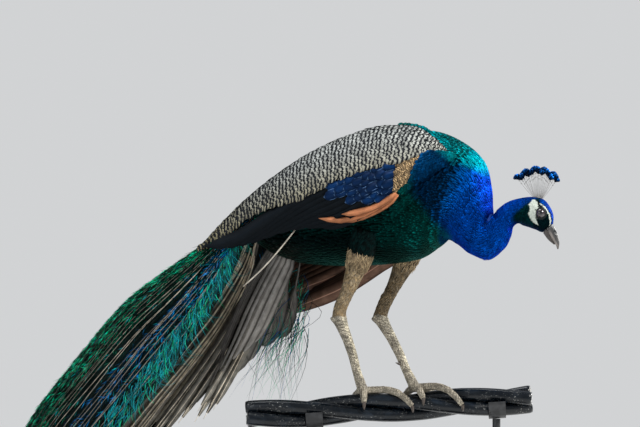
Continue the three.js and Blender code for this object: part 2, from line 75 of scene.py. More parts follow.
PERCH_Z = 0.64  # the bird's soles above the base's underside
FULL_TURN = 2 * math.pi
BAKE_PATCH = 0.003  # a feather's patch on its piece's bake map
SCAPULAR_LONG = 0.026  # a barred shoulder feather's length
BAR_PERIOD = 0.0090  # from one of its dark bars to the next


# ---- sizes and colours a user may change
def length(name, description, default):
    return FloatProperty(name=name, description=description, default=default, min=0.0, unit="LENGTH",
                         subtype="DISTANCE")


def colour(name, description, default):
    return FloatVectorProperty(name=name, description=description, default=default, size=3, min=0, max=1,
                               subtype="COLOR")


def times(shade, factor):
    """A colour made lighter or darker."""
    return tuple(min(1, part * factor) for part in shade)


class PlumageSettings(bpy.types.PropertyGroup):
    """Colours of the body's plumage and the spacing of its feathers."""
    blue: colour("Neck blue", "Neck and crown", (0.0, 0.066, 0.42))
    deep_blue: colour("Deep blue", "Shaded side of the lower neck", (0.0, 0.044, 0.150))
    teal: colour("Mantle teal", "Scaly feathers behind the neck", (0.0, 0.36, 0.40))
    flank: colour("Flank green", "Breast sides and flank", (0.001, 0.115, 0.100))
    belly: colour("Belly black", "Belly and vent", (0.004, 0.011, 0.014))
    face_white: colour("Face white", "Bare skin of the face", (0.62, 0.68, 0.6))
    throat: colour("Throat green", "Cheek, throat and lores", (0.001, 0.030, 0.028))
    neck_step: length("Neck spacing", "Distance between feather rows on the neck", 0.0040)
    body_step: length("Body spacing", "Distance between feather rows on the trunk", 0.0105)


class WingSettings(bpy.types.PropertyGroup):
    """Colours of the wings."""
    cream: colour("Bar cream", "Light bars of the shoulder feathers", (0.50, 0.47, 0.38))
    bar_black: colour("Bar black", "Dark bars of the shoulder feathers", (0.012, 0.014, 0.018))
    tan: colour("Shoulder tan", "Small coverts at the front edge", (0.46, 0.31, 0.16))
    covert_blue: colour("Covert blue", "Larger coverts", (0.0, 0.016, 0.066))
    rim_blue: colour("Covert rim", "Thin light rims of the coverts", (0.16, 0.32, 0.62))
    secondary: colour("Secondary black", "Long inner flight feathers", (0.0025, 0.0060, 0.0100))
    rufous: colour("Rufous", "Primary feathers", (0.62, 0.24, 0.11))
    far_brown: colour("Far wing brown", "Drooped primaries", (0.21, 0.115, 0.080))


class TrainSettings(bpy.types.PropertyGroup):
    """Train and tail feathers."""
    plumes: IntProperty(name="Plumes", description="Train feathers in the outermost layer", default=58, min=8)
    barb: length("Barb length", "Length of a loose barb", 0.0185)
    green: colour("Train green", "Bright green barbs", (0.0, 0.42, 0.20))
    dark: colour("Train dark", "Dark bronze green barbs", (0.003, 0.022, 0.018))
    blue: colour("Train blue", "Blue barbs", (0.0, 0.13, 0.40))
    turquoise: colour("Train turquoise", "Turquoise barbs", (0.0, 0.28, 0.31))
    shaft: colour("Shaft cream", "Bare feather shafts", (0.56, 0.49, 0.39))
    tail: colour("Tail brown", "Stiff tail feathers", (0.25, 0.235, 0.215))


class LegSettings(bpy.types.PropertyGroup):
    """Legs, feet and thighs."""
    thigh: colour("Thigh buff", "Thigh feathers", (0.40, 0.30, 0.18))
    horn: colour("Leg horn", "Scales of shank and toes", (0.45, 0.40, 0.31))
    scute: length("Scute height", "Height of one scale on the shank", 0.0068)


class StandSettings(bpy.types.PropertyGroup):
    """Perch and display stand."""
    rubber: colour("Cable black", "Weathered cable sheath", (0.0022, 0.0045, 0.0075))
    board: colour("Board", "Stained base board", (0.045, 0.030, 0.020))
    metal: colour("Rod", "Painted rods", (0.030, 0.031, 0.033))


class StageSettings(bpy.types.PropertyGroup):
    """Floor, lights and camera."""
    azimuth: FloatProperty(name="Azimuth", description="Camera angle round the bird",
                           default=math.radians(20), subtype="ANGLE", unit="ROTATION")
    elevation: FloatProperty(name="Elevation", description="Camera angle above level",
                             default=math.radians(1), subtype="ANGLE", unit="ROTATION")
    distance: length("Distance", "Camera to target", 12.0)
    field: length("Field", "Width seen at the target", 1.28)
    floor: colour("Floor", "Pale floor near the stand", (0.82, 0.82, 0.81))
    backdrop: colour("Backdrop", "Pale distance behind the bird", (0.64, 0.65, 0.66))
    ambient: FloatProperty(name="Ambient", description="Strength of the light from all round", default=0.36, min=0.0)


def chosen(group):
    """The values set in one group of the panel."""
    return getattr(bpy.context.scene, "peafowl_" + group)


# ---- node materials
class Net:
    """Short calls that add and link shader nodes."""

    def __init__(self, name, **shader):
        self.material = bpy.data.materials.new(name)
        self.material.use_nodes = True
        self.tree = self.material.node_tree
        self.shader = self.tree.nodes["Principled BSDF"]
        self.paint(**shader)

    def node(self, kind, *values, **settings):
        """A new node with its first inputs filled."""
        made = self.tree.nodes.new("ShaderNode" + kind)
        for key, value in settings.items():
            setattr(made, key, value)
        for socket, value in zip(made.inputs, values):
            self.put(socket, value)
        return made

    def put(self, socket, value):
        if isinstance(value, bpy.types.NodeSocket):
            self.tree.links.new(value, socket)
        elif value is not None:
            socket.default_value = (*value, 1) if socket.type == "RGBA" and len(value) == 3 else value

    def math(self, operation, *values):
        return self.node("Math", *values, operation=operation).outputs[0]

    def product(self, a, b):
        return self.math("MULTIPLY", a, b)

    def step(self, value, low, high, to_low=0.0, to_high=1.0):
        """Value from low to high, eased, onto to_low to to_high."""
        return self.node("MapRange", value, low, high, to_low, to_high, interpolation_type="SMOOTHSTEP").outputs[0]

    def mix(self, share, a, b, blend="MIX"):
        made = self.node("Mix", data_type="RGBA", blend_type=blend)
        for socket, value in zip((made.inputs[0], made.inputs[6], made.inputs[7]), (share, a, b)):
            self.put(socket, value)
        return made.outputs[2]

    def scaled(self, shade, factor):
        """A colour times a number."""
        made = self.node("VectorMath", shade, operation="SCALE")
        self.put(made.inputs["Scale"], factor)
        return made.outputs[0]

    def ramp(self, share, stops):
        made = self.node("ValToRGB", share)
        elements = made.color_ramp.elements
        while len(elements) < len(stops):
            elements.new(0.5)
        for element, (place, shade) in zip(elements, stops):
            element.position, element.color = place, (*shade, 1)
        return made.outputs[0]

    def split(self, vector):
        return self.node("SeparateXYZ", vector).outputs

    def lie(self):
        """A feather's own map: across from -1 to 1, along from root to tip."""
        across, along, _ = self.split(self.node("UVMap", uv_map="Lie").outputs[0])
        return self.math("MULTIPLY_ADD", across, 2.0, -1.0), along

    def tint(self):
        return self.node("Attribute", attribute_name="Tint").outputs[0]

    def objects(self):
        return self.node("TexCoord").outputs["Object"]

    def reach(self, a, b):
        """The length of two numbers at right angles."""
        return self.math("SQRT", self.math("ADD", self.math("POWER", a, 2.0), self.math("POWER", b, 2.0)))

    def noise(self, scale, detail=3.0, stretch=None):
        vector = self.objects()
        if stretch:
            mapping = self.node("Mapping", vector)
            mapping.inputs["Scale"].default_value = stretch
            vector = mapping.outputs[0]
        made = self.node("TexNoise", vector)
        made.inputs["Scale"].default_value = scale
        made.inputs["Detail"].default_value = detail
        return made.outputs[0]

    def patchy(self, scale, low, high, detail=2.0):
        """A number that wanders between low and high."""
        return self.step(self.noise(scale, detail), 0.3, 0.7, low, high)

    def bump(self, height, strength, distance):
        made = self.node("Bump")
        made.inputs["Strength"].default_value = strength
        made.inputs["Distance"].default_value = distance
        self.put(made.inputs["Height"], height)
        self.put(self.shader.inputs["Normal"], made.outputs[0])

    def paint(self, **sockets):
        for key, value in sockets.items():
            self.put(self.shader.inputs[key.replace("_", " ")], value)
        return self.material

    def barbs(self, across, along, count, slant):
        """Fine ridges that slant from the shaft to the edge."""
        phase = self.math("MULTIPLY_ADD", self.math("ABSOLUTE", across), -slant, along)
        return self.math("SINE", self.product(phase, count))


def plain_plumage(name, gloss=0.42, metal=0.8, dark=0.35, tip=1.5, start=0.15, barbs=120.0, edge=(1.0, 1.0, 1.0)):
    """Body feathers that take their colour from their root, darker at the root and edges."""
    net = Net(name, Metallic=metal, Roughness=gloss, Specular_IOR_Level=0.15, Specular_Tint=edge)
    across, along = net.lie()
    ridges = net.barbs(across, along, barbs, 0.35)
    shade = net.step(along, start, 0.95, dark, tip)
    for factor in (net.step(net.math("ABSOLUTE", across), 0.5, 1.0, 1.0, 0.75),
                   net.math("MULTIPLY_ADD", ridges, 0.12, 0.95), net.patchy(70.0, 0.75, 1.25, 3.0)):
        shade = net.product(shade, factor)
    net.bump(ridges, 0.25, 0.0003)
    return net.paint(Base_Color=net.scaled(net.tint(), shade))


def barred_plumage(name, black, period=BAR_PERIOD, zigzag=2.6, share=0.0):
    """Black and light zigzag bars that run on from feather to feather. Vary counts bars up to the root."""
    net = Net(name, Roughness=0.65, Specular_IOR_Level=0.2)
    across, along = net.lie()
    vary = net.node("Attribute", attribute_name="Vary").outputs[2]
    wobble = net.math("MULTIPLY_ADD", net.noise(110.0, 1.0), 2.0, net.product(vary, FULL_TURN))
    chevron = net.product(net.math("ABSOLUTE", across), -zigzag)
    phase = net.math("MULTIPLY_ADD", along, FULL_TURN * SCAPULAR_LONG / period, chevron)
    wave = net.math("SINE", net.math("ADD", phase, wobble))
    # towards the wing's tip the dark bars grow wider
    narrower = net.step(net.split(net.objects())[0], -0.05, -0.36, share, share + 0.45)
    bars = net.step(net.math("SUBTRACT", wave, narrower), -0.3, 0.3)
    base = net.mix(bars, black, net.tint())
    base = net.mix(net.step(along, 0.0, 0.3, 0.65, 0.0), base, black)
    net.bump(net.barbs(across, along, 90.0, 0.5), 0.15, 0.0002)
    return net.paint(Base_Color=base)


def rimmed_plumage(name, inner, rim):
    """Rounded feathers with a thin light rim and painted glints in the middle."""
    net = Net(name, Metallic=0.35, Roughness=0.45, Specular_IOR_Level=0.15)
    across, along = net.lie()
    side = net.math("POWER", net.math("ABSOLUTE", across), 2.0)
    edge = net.step(net.math("MAXIMUM", side, net.math("POWER", along, 3.0)), 0.70, 0.96)
    # random patches twice as bright in the middle are painted glints: a painted highlight
    centre = net.mix(net.step(net.noise(30.0, 2.0), 0.4, 0.65), inner, times(inner, 2.0))
    net.bump(net.barbs(across, along, 110.0, 0.5), 0.12, 0.0002)
    return net.paint(Base_Color=net.mix(edge, centre, rim))


def flight_plumage(name, vane, edge, shaft, gloss=0.5, stripe=0.035, contrast=0.25):
    """Long stiff feathers: slanting barbs, a pale shaft and an edge of another colour."""
    net = Net(name, Roughness=gloss, Specular_IOR_Level=0.15)
    across, along = net.lie()
    width = net.math("ABSOLUTE", across)
    ridges = net.barbs(across, along, 420.0, 0.16)
    base = net.mix(net.patchy(55.0, 0.0, 1.0, 4.0), times(vane, 1 - contrast), times(vane, 1 + contrast))
    # an edge of another colour; on the tail the darker edge is painted shade between overlapping feathers
    base = net.mix(net.step(width, 0.72, 0.98, 0.0, 0.85), base, edge)
    base = net.mix(net.math("MULTIPLY_ADD", ridges, 0.13, 0.13), base, times(vane, 0.4))
    base = net.mix(net.step(width, stripe, stripe * 2.2, 1.0, 0.0), base, shaft)
    net.bump(ridges, 0.3, 0.0004)
    return net.paint(Base_Color=net.mix(1.0, base, net.tint(), "MULTIPLY"))


def tinted(name, gloss, metal=0.0, **shader):
    """Barbs and shafts that take their colour from their attribute."""
    net = Net(name, Roughness=gloss, Metallic=metal, **shader)
    return net.paint(Base_Color=net.scaled(net.tint(), net.patchy(60.0, 0.7, 1.3)))


# ---- shapes and joined copies
def tube(rings, sides):
    """A closed tube's topology: each vertex's ring and corner, counted round from the left edge, and its triangles."""
    bm = ringed_cylinder(rings, sides)
    bmesh.ops.triangulate(bm, faces=bm.faces)
    points, faces = taken(bm)
    ring = np.rint((points[:, 2] + 0.5) * (rings - 1)).astype(int)
    corner = np.rint(np.arctan2(points[:, 1], points[:, 0]) / FULL_TURN * sides + 4 * sides).astype(int) % sides
    return ring, (corner - corner.min()) % sides, faces


def upright_edges(bm, height=0.5):
    return [edge for edge in bm.edges if abs(edge.verts[0].co.z - edge.verts[1].co.z) > height]


def ringed_cylinder(rings, sides):
    """A cylinder of radius and height 1, cut into rings of vertices."""
    bm = bmesh.new()
    bmesh.ops.create_cone(bm, cap_ends=True, segments=sides, radius1=1, radius2=1, depth=1)
    bmesh.ops.subdivide_edges(bm, edges=upright_edges(bm), cuts=rings - 2, use_grid_fill=True)
    return bm


def taken(bm):
    """The points and triangles of a bmesh, which is freed."""
    bm.verts.index_update()
    points = np.array([vertex.co for vertex in bm.verts])
    faces = np.array([[vertex.index for vertex in face.verts] for face in bm.faces])
    bm.free()
    return points, faces


def as_mesh(bm, name, smooth=None):
    """The bmesh as a mesh, its faces smooth, flat or as they are. The bmesh is freed."""
    if smooth is not None:
        for face in bm.faces:
            face.smooth = smooth
    mesh = bpy.data.meshes.new(name)
    bm.to_mesh(mesh)
    bm.free()
    return mesh


# left edge, keel, right edge and underside of a feather's cross-section, as shares of its half width and thickness
SECTION = np.array([(-1.0, 0.0), (0.0, 1.0), (1.0, 0.0), (0.0, -0.5)])


def prototype(widths, heights, sides=3):
    """A thin closed feather along +Y, one unit long, and one unit to each side at its widest."""
    ring, corner, faces = tube(len(widths), sides)
    share = ring / (len(widths) - 1)
    across = SECTION[corner, 0] * np.array(widths)[ring]
    lift = SECTION[corner, 1] * np.array(heights)[ring]
    bm = bmesh.new()
    made = [bm.verts.new(point) for point in zip(across, share ** 0.85, lift)]
    for face in faces:
        bm.faces.new([made[i] for i in face])
    bmesh.ops.remove_doubles(bm, verts=bm.verts, dist=1e-4)
    bmesh.ops.recalc_face_normals(bm, faces=bm.faces)
    return taken(bm)


def unit(vectors):
    return vectors / np.maximum(np.linalg.norm(vectors, axis=-1, keepdims=True), 1e-9)


def squared(up, along):
    """Upward directions turned square to a feather's own direction."""
    up = np.broadcast_to(up, along.shape)
    return unit(up - (up * along).sum(-1, keepdims=True) * along)


def facing(normals, outwards):
    """Normals turned to the side of the outward directions."""
    return normals * np.sign((normals * outwards).sum(1, keepdims=True))


def fill(items, field, values, kind=np.float32):
    items.foreach_set(field, values.astype(kind).ravel())


def paint_mesh(mesh, tint):
    """A colour for each point, which the materials read as Tint."""
    fill(mesh.attributes.new("Tint", "FLOAT_COLOR", "POINT").data, "color", np.c_[tint, np.ones(len(tint))])


class Coat:
    """Gathers many feathers and writes them as one joined mesh."""

    def __init__(self):
        self.points, self.faces, self.lie, self.bake, self.tint, self.vary = [], [], [], [], [], []
        self.count = 0

    def stamp(self, shape, root, along, up, size, cell, tint, vary, curl=0.0, sway=0.0, patch=BAKE_PATCH):
        """Copies of a shape at roots: size is half width, length and height. Curl bends tips inwards."""
        points, faces = shape
        root = np.atleast_2d(np.asarray(root, float))
        n = len(root)
        along = unit(np.broadcast_to(along, root.shape))
        up = squared(up, along)
        across = np.cross(along, up)
        size = np.broadcast_to(size, (n, 3))
        wide, long, high = size[:, :1], size[:, 1:2], size[:, 2:]
        curl, sway = (np.broadcast_to(bend, (n,))[:, None] for bend in (curl, sway))
        y = points[None, :, 1]
        x = points[None, :, 0] * wide + sway * long * y**2
        z = points[None, :, 2] * high - curl * long * y**2
        placed = (root[:, None] + x[..., None] * across[:, None] + (y * long)[..., None] * along[:, None]
                  + z[..., None] * up[:, None])
        across_map = np.broadcast_to(np.clip(points[None, :, 0], -1, 1) * 0.5 + 0.5, x.shape)
        self._write(placed, faces, across_map, np.broadcast_to(y, x.shape), cell, tint, vary, patch)

    def strips(self, path, up, half, thick, cell, tint, vary, sides=4, patch=BAKE_PATCH):
        """Long vanes or quills along one or more paths, with half widths and thicknesses at their rings."""
        path = path.reshape(-1, *path.shape[-2:])
        n, rings = path.shape[:2]
        along = unit(np.gradient(path, axis=1))
        up = squared(up, along)
        across = np.cross(along, up)
        half, thick = (np.broadcast_to(size, (n, rings))[..., None] for size in (half, thick))
        ring, corner, faces = tube(rings, sides)
        section = SECTION[corner]
        placed = (path[:, ring] + section[:, :1] * half[:, ring] * across[:, ring]
                  + section[:, 1:] * thick[:, ring] * up[:, ring])
        u = np.broadcast_to(section[:, 0] * 0.5 + 0.5, placed.shape[:2])
        v = np.broadcast_to(ring / (rings - 1), placed.shape[:2])
        self._write(placed, faces, u, v, cell, tint, vary, patch)

    def _write(self, placed, faces, u, v, cell, tint, vary, patch):
        n, k = placed.shape[:2]
        self.points.append(placed.reshape(-1, 3))
        self.faces.append((faces[None] + self.count + (np.arange(n) * k)[:, None, None]).reshape(-1, 3))
        self.lie.append(np.stack([u, v], -1).reshape(-1, 2))
        spot = np.stack([u - 0.5, v - 0.5], -1) * patch
        self.bake.append((np.broadcast_to(cell, (n, 2))[:, None] + spot).reshape(-1, 2))
        self.tint.append(np.repeat(np.broadcast_to(tint, (n, 3)), k, axis=0))
        self.vary.append(np.repeat(np.broadcast_to(vary, (n,)), k))
        self.count += n * k

    def piece(self, name, material, slot, nodes=()):
        """The joined mesh as a piece of the object."""
        points, faces = np.concatenate(self.points), np.concatenate(self.faces)
        mesh = bpy.data.meshes.new(name)
        mesh.vertices.add(len(points))
        fill(mesh.vertices, "co", points)
        mesh.loops.add(faces.size)
        fill(mesh.loops, "vertex_index", faces, np.int32)
        mesh.polygons.add(len(faces))
        fill(mesh.polygons, "loop_start", np.arange(0, faces.size, 3), np.int32)
        fill(mesh.polygons, "use_smooth", np.ones(len(faces)), bool)
        mesh.update(calc_edges=True)
        for key, values in (("OFBake", self.bake), ("Lie", self.lie)):
            fill(mesh.uv_layers.new(name=key).data, "uv", np.concatenate(values)[faces.ravel()])
        paint_mesh(mesh, np.concatenate(self.tint))
        fill(mesh.attributes.new("Vary", "FLOAT", "POINT").data, "value", np.concatenate(self.vary))
        mesh.materials.append(material)
        add_piece(name, mesh, nodes)


def add_piece(name, mesh, nodes=()):
    """An object at the origin that rides on the body and stands for the named CAD nodes."""
    piece = linked(name, mesh)
    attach(piece, "root")
    if nodes:
        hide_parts(*nodes)


# ---- the bird's form, as the CAD part's rows
def metres(rows):
    return np.array(rows, float) / 1000


# back line x, z, under line x, z, half width
BODY = metres([
    (345, 331, 323, 315, 8), (345, 350, 317, 316, 14), (338, 367, 310, 319, 18.5), (324, 382, 298, 323, 21.5),
    (301, 387, 284, 327, 21), (277, 386, 271, 330, 22), (253, 381, 260, 320, 25), (234, 370, 256, 302, 30),
    (221, 357, 244, 279, 36), (216, 356, 212, 256, 43), (216, 376, 174, 265, 52), (215, 408, 144, 285, 64),
    (202, 458, 122, 293, 79), (165, 496, 102, 277, 92), (104, 523, 68, 254, 103), (34, 522, 15, 243, 108),
    (-51, 505, -57, 238, 108), (-136, 467, -132, 238, 101), (-204, 429, -196, 245, 86), (-262, 388, -245, 263, 66),
    (-305, 352, -282, 290, 42), (-330, 328, -305, 308, 18)])
NECK_START, TRUNK_START = 4.6, 12.6  # rows where neck and trunk begin

# wings: top edge, folded and drooped under edge (x, y, z), bulge and thickness of the blade
WING_TOP = metres([(156, 60, 484), (112, 44, 508), (63, 34, 525), (-8, 30, 525), (-83, 30, 504), (-157, 30, 471),
                   (-221, 30, 433), (-284, 32, 387), (-329, 38, 346), (-372, 47, 298)])
FOLDED = metres([(156, 72, 458), (102, 98, 414), (60, 114, 382), (14, 121, 357), (-51, 121, 333), (-119, 114, 328),
                 (-184, 101, 316), (-251, 83, 296), (-308, 67, 284), (-366, 54, 282)])
DROOPED = metres([(152, 82, 440), (108, 108, 352), (84, 116, 292), (16, 122, 260), (-58, 124, 226), (-125, 120, 187),
                  (-194, 113, 159), (-268, 98, 142), (-318, 78, 200), (-362, 58, 268)])
WING_BULGE = metres([3, 20, 30, 35, 36, 33, 27, 19, 11, 4])

# arched plumes: ridge x, z, side edge x, z, half width, thickness
TRAIN = metres([
    (-272, 392, -250, 356, 34, 38), (-338, 342, -296, 290, 62, 52), (-392, 292, -317, 230, 84, 46),
    (-479, 235, -370, 130, 104, 32), (-560, 177, -424, 50, 117, 24), (-626, 108, -466, -6, 124, 25),
    (-688, 36, -512, -62, 130, 25), (-755, -44, -577, -140, 140, 24), (-809, -134, -640, -228, 150, 22),
    (-852, -232, -702, -314, 154, 19), (-889, -336, -762, -400, 146, 15), (-918, -436, -820, -482, 112, 11),
    (-940, -534, -872, -556, 52, 7)])
TAIL = metres([(-214, 330, -186, 268, 22, 14), (-270, 248, -196, 210, 40, 13), (-311, 168, -209, 164, 55, 11),
               (-349, 78, -223, 128, 66, 9), (-386, -8, -246, 92, 74, 6)])

RIGHT = np.array([0.0, -1.0, 0.0])


def column(values):
    """Numbers with a last axis added, to go with points; a single number stays one."""
    values = np.asarray(values, float)
    return values[..., None] if values.ndim else values


def mid_point(x, z):
    """A point of the bird's middle plane, z above the soles."""
    return np.stack([x, np.zeros_like(x), z + PERCH_Z], -1)


def smooth(rows, place):
    """Smooth value along rows of numbers at places from 0 to the last row, carried on straight beyond them."""
    rows = np.asarray(rows, float)
    single = rows.ndim == 1 or rows.shape[1] == 1
    rows = rows.reshape(len(rows), -1)
    last = len(rows) - 1
    place = np.asarray(place, float)
    index = np.clip(np.floor(place), 0, last - 1).astype(int)
    t = np.clip(place - index, -1, 2)[..., None]
    padded = np.vstack([2 * rows[0] - rows[1], rows, 2 * rows[-1] - rows[-2]])
    a, b, c, d = (padded[index + i] for i in range(4))
    curve = 0.5 * (2 * b + (c - a) * t + (2 * a - 5 * b + 4 * c - d) * t**2 + (3 * b - a - 3 * c + d) * t**3)
    straight = np.where(t < 0, b + (c - a) / 2 * t, c + (d - b) / 2 * (t - 1))
    value = np.where((t < 0) | (t > 1), straight, curve)
    return value[..., 0] if single else value


def body_point(place, angle, depth=0.0):
    """A point of head, neck or trunk: angle 0 is the back line, a quarter turn the bird's right side."""
    row = smooth(BODY, place)
    back, under = mid_point(row[..., 0], row[..., 1]), mid_point(row[..., 2], row[..., 3])
    half_line = (back - under) / 2
    tall = np.linalg.norm(half_line, axis=-1, keepdims=True)
    depth = column(depth)
    return ((back + under) / 2 + half_line / tall * (tall - depth) * np.cos(angle)[..., None]
            + RIGHT * (row[..., 4:5] - depth) * np.sin(angle)[..., None])


def wing_point(side, s, t, lift=0.0):
    """A point of a wing's outer face: s runs from its front to its tip, t from the top edge to the under edge."""
    top, under = smooth(WING_TOP, s), smooth(FOLDED if side < 0 else DROOPED, s)
    extra = 0.1 * (smooth(FOLDED, s)[..., 2] - under[..., 2]) if side > 0 else 0
    bulge = smooth(WING_BULGE, s) + extra
    turned = np.array([1.0, side, 1.0])
    top, under = top * turned, under * turned
    chord = unit(top - under)
    outwards = side * unit(np.stack([np.zeros_like(s), chord[..., 2], -chord[..., 1]], -1))
    bow = np.sqrt(np.clip(4 * t * (1 - t), 0, 1))
    point = top + (under - top) * column(t) + outwards * (bulge * bow)[..., None] + outwards * column(lift)
    return point + np.array([0, 0, PERCH_Z])


def plume_point(rows, place, angle, depth=0.0):
    """A point of an arched stretch of plumes: angle 0 is the left edge, half a turn the right edge."""
    row = smooth(rows, place)
    ridge, edge = mid_point(row[..., 0], row[..., 1]), mid_point(row[..., 2], row[..., 3])
    rise = ridge - edge
    depth = column(depth)
    high = np.linalg.norm(rise, axis=-1, keepdims=True)
    return (edge + rise / high * (high - depth) * np.sin(angle)[..., None]
            - RIGHT * (row[..., 4:5] - depth) * np.cos(angle)[..., None])


def frame_at(surface, first, second, step=(0.02, 0.02)):
    """Point, direction of the first coordinate and outward normal of a surface of two coordinates."""
    point = surface(first, second)
    along = surface(first + step[0], second) - surface(first - step[0], second)
    across = surface(first, second + step[1]) - surface(first, second - step[1])
    return point, unit(along), unit(np.cross(along, across))


def under_plumes(rows, places, angle, depth, inner):
    """A plume's middle line at a depth under an arch, its direction and its outward normals."""
    path, along, normals = frame_at(lambda a, b: plume_point(rows, a, b, depth), places, angle)
    return path, along, facing(normals, path - plume_point(rows, places, angle, depth + inner))


def eased(value, low, high):
    t = np.clip((value - low) / (high - low), 0, 1)
    return t * t * (3 - 2 * t)


def blend(share, a, b):
    return np.asarray(a) * (1 - share[..., None]) + np.asarray(b) * share[..., None]


def run_along(points):
    """Distance along a line of points, from its first."""
    return np.r_[0, np.cumsum(np.linalg.norm(np.diff(points, axis=0), axis=1))]


# ---- markings shared by skin and coat
# places on the head as x, z in millimetres over the soles
WHITE_PATCH = [(310, 382), (318, 376), (320, 364), (314, 360), (315, 346), (320, 327), (306, 337), (299, 352),
               (303, 363), (299, 371), (305, 381)]
BROW_LINE = [(322, 373), (331, 366), (340, 351), (342, 338), (340, 322)]
BROW_HALF_WIDTH = 1.7


def inside(outline, x, z):
    """True where points lie inside a closed outline."""
    hit = np.zeros(x.shape, bool)
    for (x0, z0), (x1, z1) in zip(outline, outline[1:] + outline[:1]):
        crosses = (z0 > z) != (z1 > z)
        hit ^= crosses & (x < (x1 - x0) * (z - z0) / (z1 - z0 + 1e-9) + x0)
    return hit


def from_line(line, x, z):
    """Distance of points from a broken line."""
    nearest = np.full(x.shape, np.inf)
    for (x0, z0), (x1, z1) in zip(line, line[1:]):
        t = np.clip(((x - x0) * (x1 - x0) + (z - z0) * (z1 - z0)) / ((x1 - x0) ** 2 + (z1 - z0) ** 2), 0, 1)
        nearest = np.minimum(nearest, np.hypot(x - x0 - t * (x1 - x0), z - z0 - t * (z1 - z0)))
    return nearest


def body_tint(points):
    """The plumage's colour at points of the skin, from the head's markings down to the belly."""
    hues = chosen("plumage")
    x, z = points[:, 0] * 1000, (points[:, 2] - PERCH_Z) * 1000
    y = np.abs(points[:, 1]) * 1000
    tint = np.tile(np.array(hues.blue), (len(points), 1))
    # painted shade: the lower neck's bend and the back of the neck, the side away from the light, turn deep blue
    tint = blend(eased(z, 330, 250) * 0.4, tint, hues.deep_blue)
    tint = blend(eased(x + 0.6 * (330 - z), 178, 100), tint, hues.deep_blue)
    border = 86 + 58 * np.clip((400 - z) / 95, 0, 1)
    tint = blend(eased(x, border + 16, border - 12), tint, hues.flank)
    low = np.clip(eased(x, 25, -25) * eased(z, 345, 300) + eased(z, 312, 268) * eased(x, 185, 120), 0, 1)
    tint = blend(low, tint, hues.belly)
    vent = eased(x, -110, -190) * eased(z, 310, 255)
    tint = blend(vent, tint, (0.050, 0.043, 0.036))
    mantle = eased(z - (478 - 0.73 * (x - 140)), -14, 10) * (z > 370) * (x < 235) * (x > -345)
    tint = blend(mantle, tint, hues.teal)
    back = mantle * eased(x, 95, 40)
    tint = blend(back * 0.7, tint, np.array(hues.teal) * 0.6 + np.array([0.03, 0.03, 0.0]))
    nape = np.interp(x, [262, 269, 299, 307, 326], [342, 350, 374, 379, 388])
    cheek = eased(x, 258, 274) * eased(z, nape + 5, nape - 5)
    tint = blend(cheek, tint, hues.throat)
    brow = np.interp(-z, *zip(*[(-height, place) for place, height in BROW_LINE]))
    tint = blend(eased(x, brow, brow + 2) * (x > 316) * (z > 318), tint, np.array(hues.blue) * 0.9)
    face = (x > 297) & (y > 5)
    dark = face & (x > 309) & (z < 376) & (x < brow)
    tint[dark] = np.array(hues.throat) * 0.3
    white = face & (inside(WHITE_PATCH, x, z) | (from_line(BROW_LINE, x, z) < BROW_HALF_WIDTH))
    tint[white] = hues.face_white
    return tint


def bare(tint):
    """True where the colour is that of the face's white skin."""
    return tint @ np.ones(3) > 1.2


# ---- skin
def cad_copy(names, name):
    """One mesh that joins copies of CAD nodes, their loose triangles merged."""
    bm = bmesh.new()
    for node in names:
        bm.from_mesh(frame["nodes"][node].data)
    bmesh.ops.remove_doubles(bm, verts=bm.verts, dist=2e-5)
    return as_mesh(bm, name)


def remeshed(names, name, voxel, smoothing):
    """CAD nodes as one closed skin of small even faces, smoothed."""
    mesh = cad_copy(names, name + "_shape")
    holder = bpy.data.objects.new(name + "_work", mesh)
    bpy.context.scene.collection.objects.link(holder)
    voxels = holder.modifiers.new("Voxels", "REMESH")
    voxels.mode, voxels.voxel_size, voxels.use_smooth_shade = "VOXEL", voxel, True
    relax = holder.modifiers.new("Relax", "SMOOTH")
    relax.factor, relax.iterations = 0.5, smoothing
    made = bpy.data.meshes.new_from_object(holder.evaluated_get(bpy.context.evaluated_depsgraph_get()))
    bpy.data.objects.remove(holder)
    bpy.data.meshes.remove(mesh)
    made.shade_smooth()
    return made


def read(mesh, what="co"):
    """The points of a mesh, or its normals."""
    values = np.empty(len(mesh.vertices) * 3, np.float32)
    if what == "co":
        mesh.vertices.foreach_get("co", values)
    else:
        mesh.vertex_normals.foreach_get("vector", values)
    return values.reshape(-1, 3).astype(float)


def write(mesh, points):
    fill(mesh.vertices, "co", points)
    mesh.update()


def skin_depth(points):
    """How deep the skin lies under the plumage's outline: trunk, neck, head."""
    neck, head = eased(points[:, 0], 0.12, 0.22), eased(points[:, 0], 0.262, 0.300)
    return 0.0095 * (1 - neck) + 0.0055 * neck * (1 - head) + 0.0013 * head

THIGH_TOP = 0.235  # height over the soles where the trunk's skin ends


def build_skin():
    """One closed skin over the flesh of head, neck, trunk and thighs, sunk under the plumage's outline."""
    hues = chosen("plumage")
    flesh = ["head", "neck_upper", "neck_lower", "trunk", "thigh_right", "thigh_left"]
    mesh = remeshed(flesh, "skin", 0.0026, 5)
    points, normals = read(mesh), read(mesh, "normal")
    height = points[:, 2] - PERCH_Z
    thigh = height < THIGH_TOP
    depth = np.where(thigh, 0.0035 + 0.004 * eased(height, 0.135, 0.20), skin_depth(points))
    depth = np.where(from_eyes(points) < 0.0145, 0.0004, depth)
    tint = body_tint(points)
    face = (points[:, 0] > 0.29) & (np.abs(points[:, 1]) > 0.004)
    white = face & bare(tint)
    tint = tint * 0.55
    tint[thigh] = times(chosen("legs").thigh, 0.5)
    tint[white] = hues.face_white
    write(mesh, points - normals * depth[:, None])
    paint_mesh(mesh, tint)
    net = Net("skin", Roughness=0.6, Specular_IOR_Level=0.3)
    wrinkles = net.noise(420.0, 4.0)
    net.bump(wrinkles, 0.5, 0.0006)
    mesh.materials.append(net.paint(Base_Color=net.scaled(net.tint(), net.step(wrinkles, 0.35, 0.65, 0.8, 1.15))))
    unwrap_round(mesh, points)
    add_piece("skin", mesh, flesh)


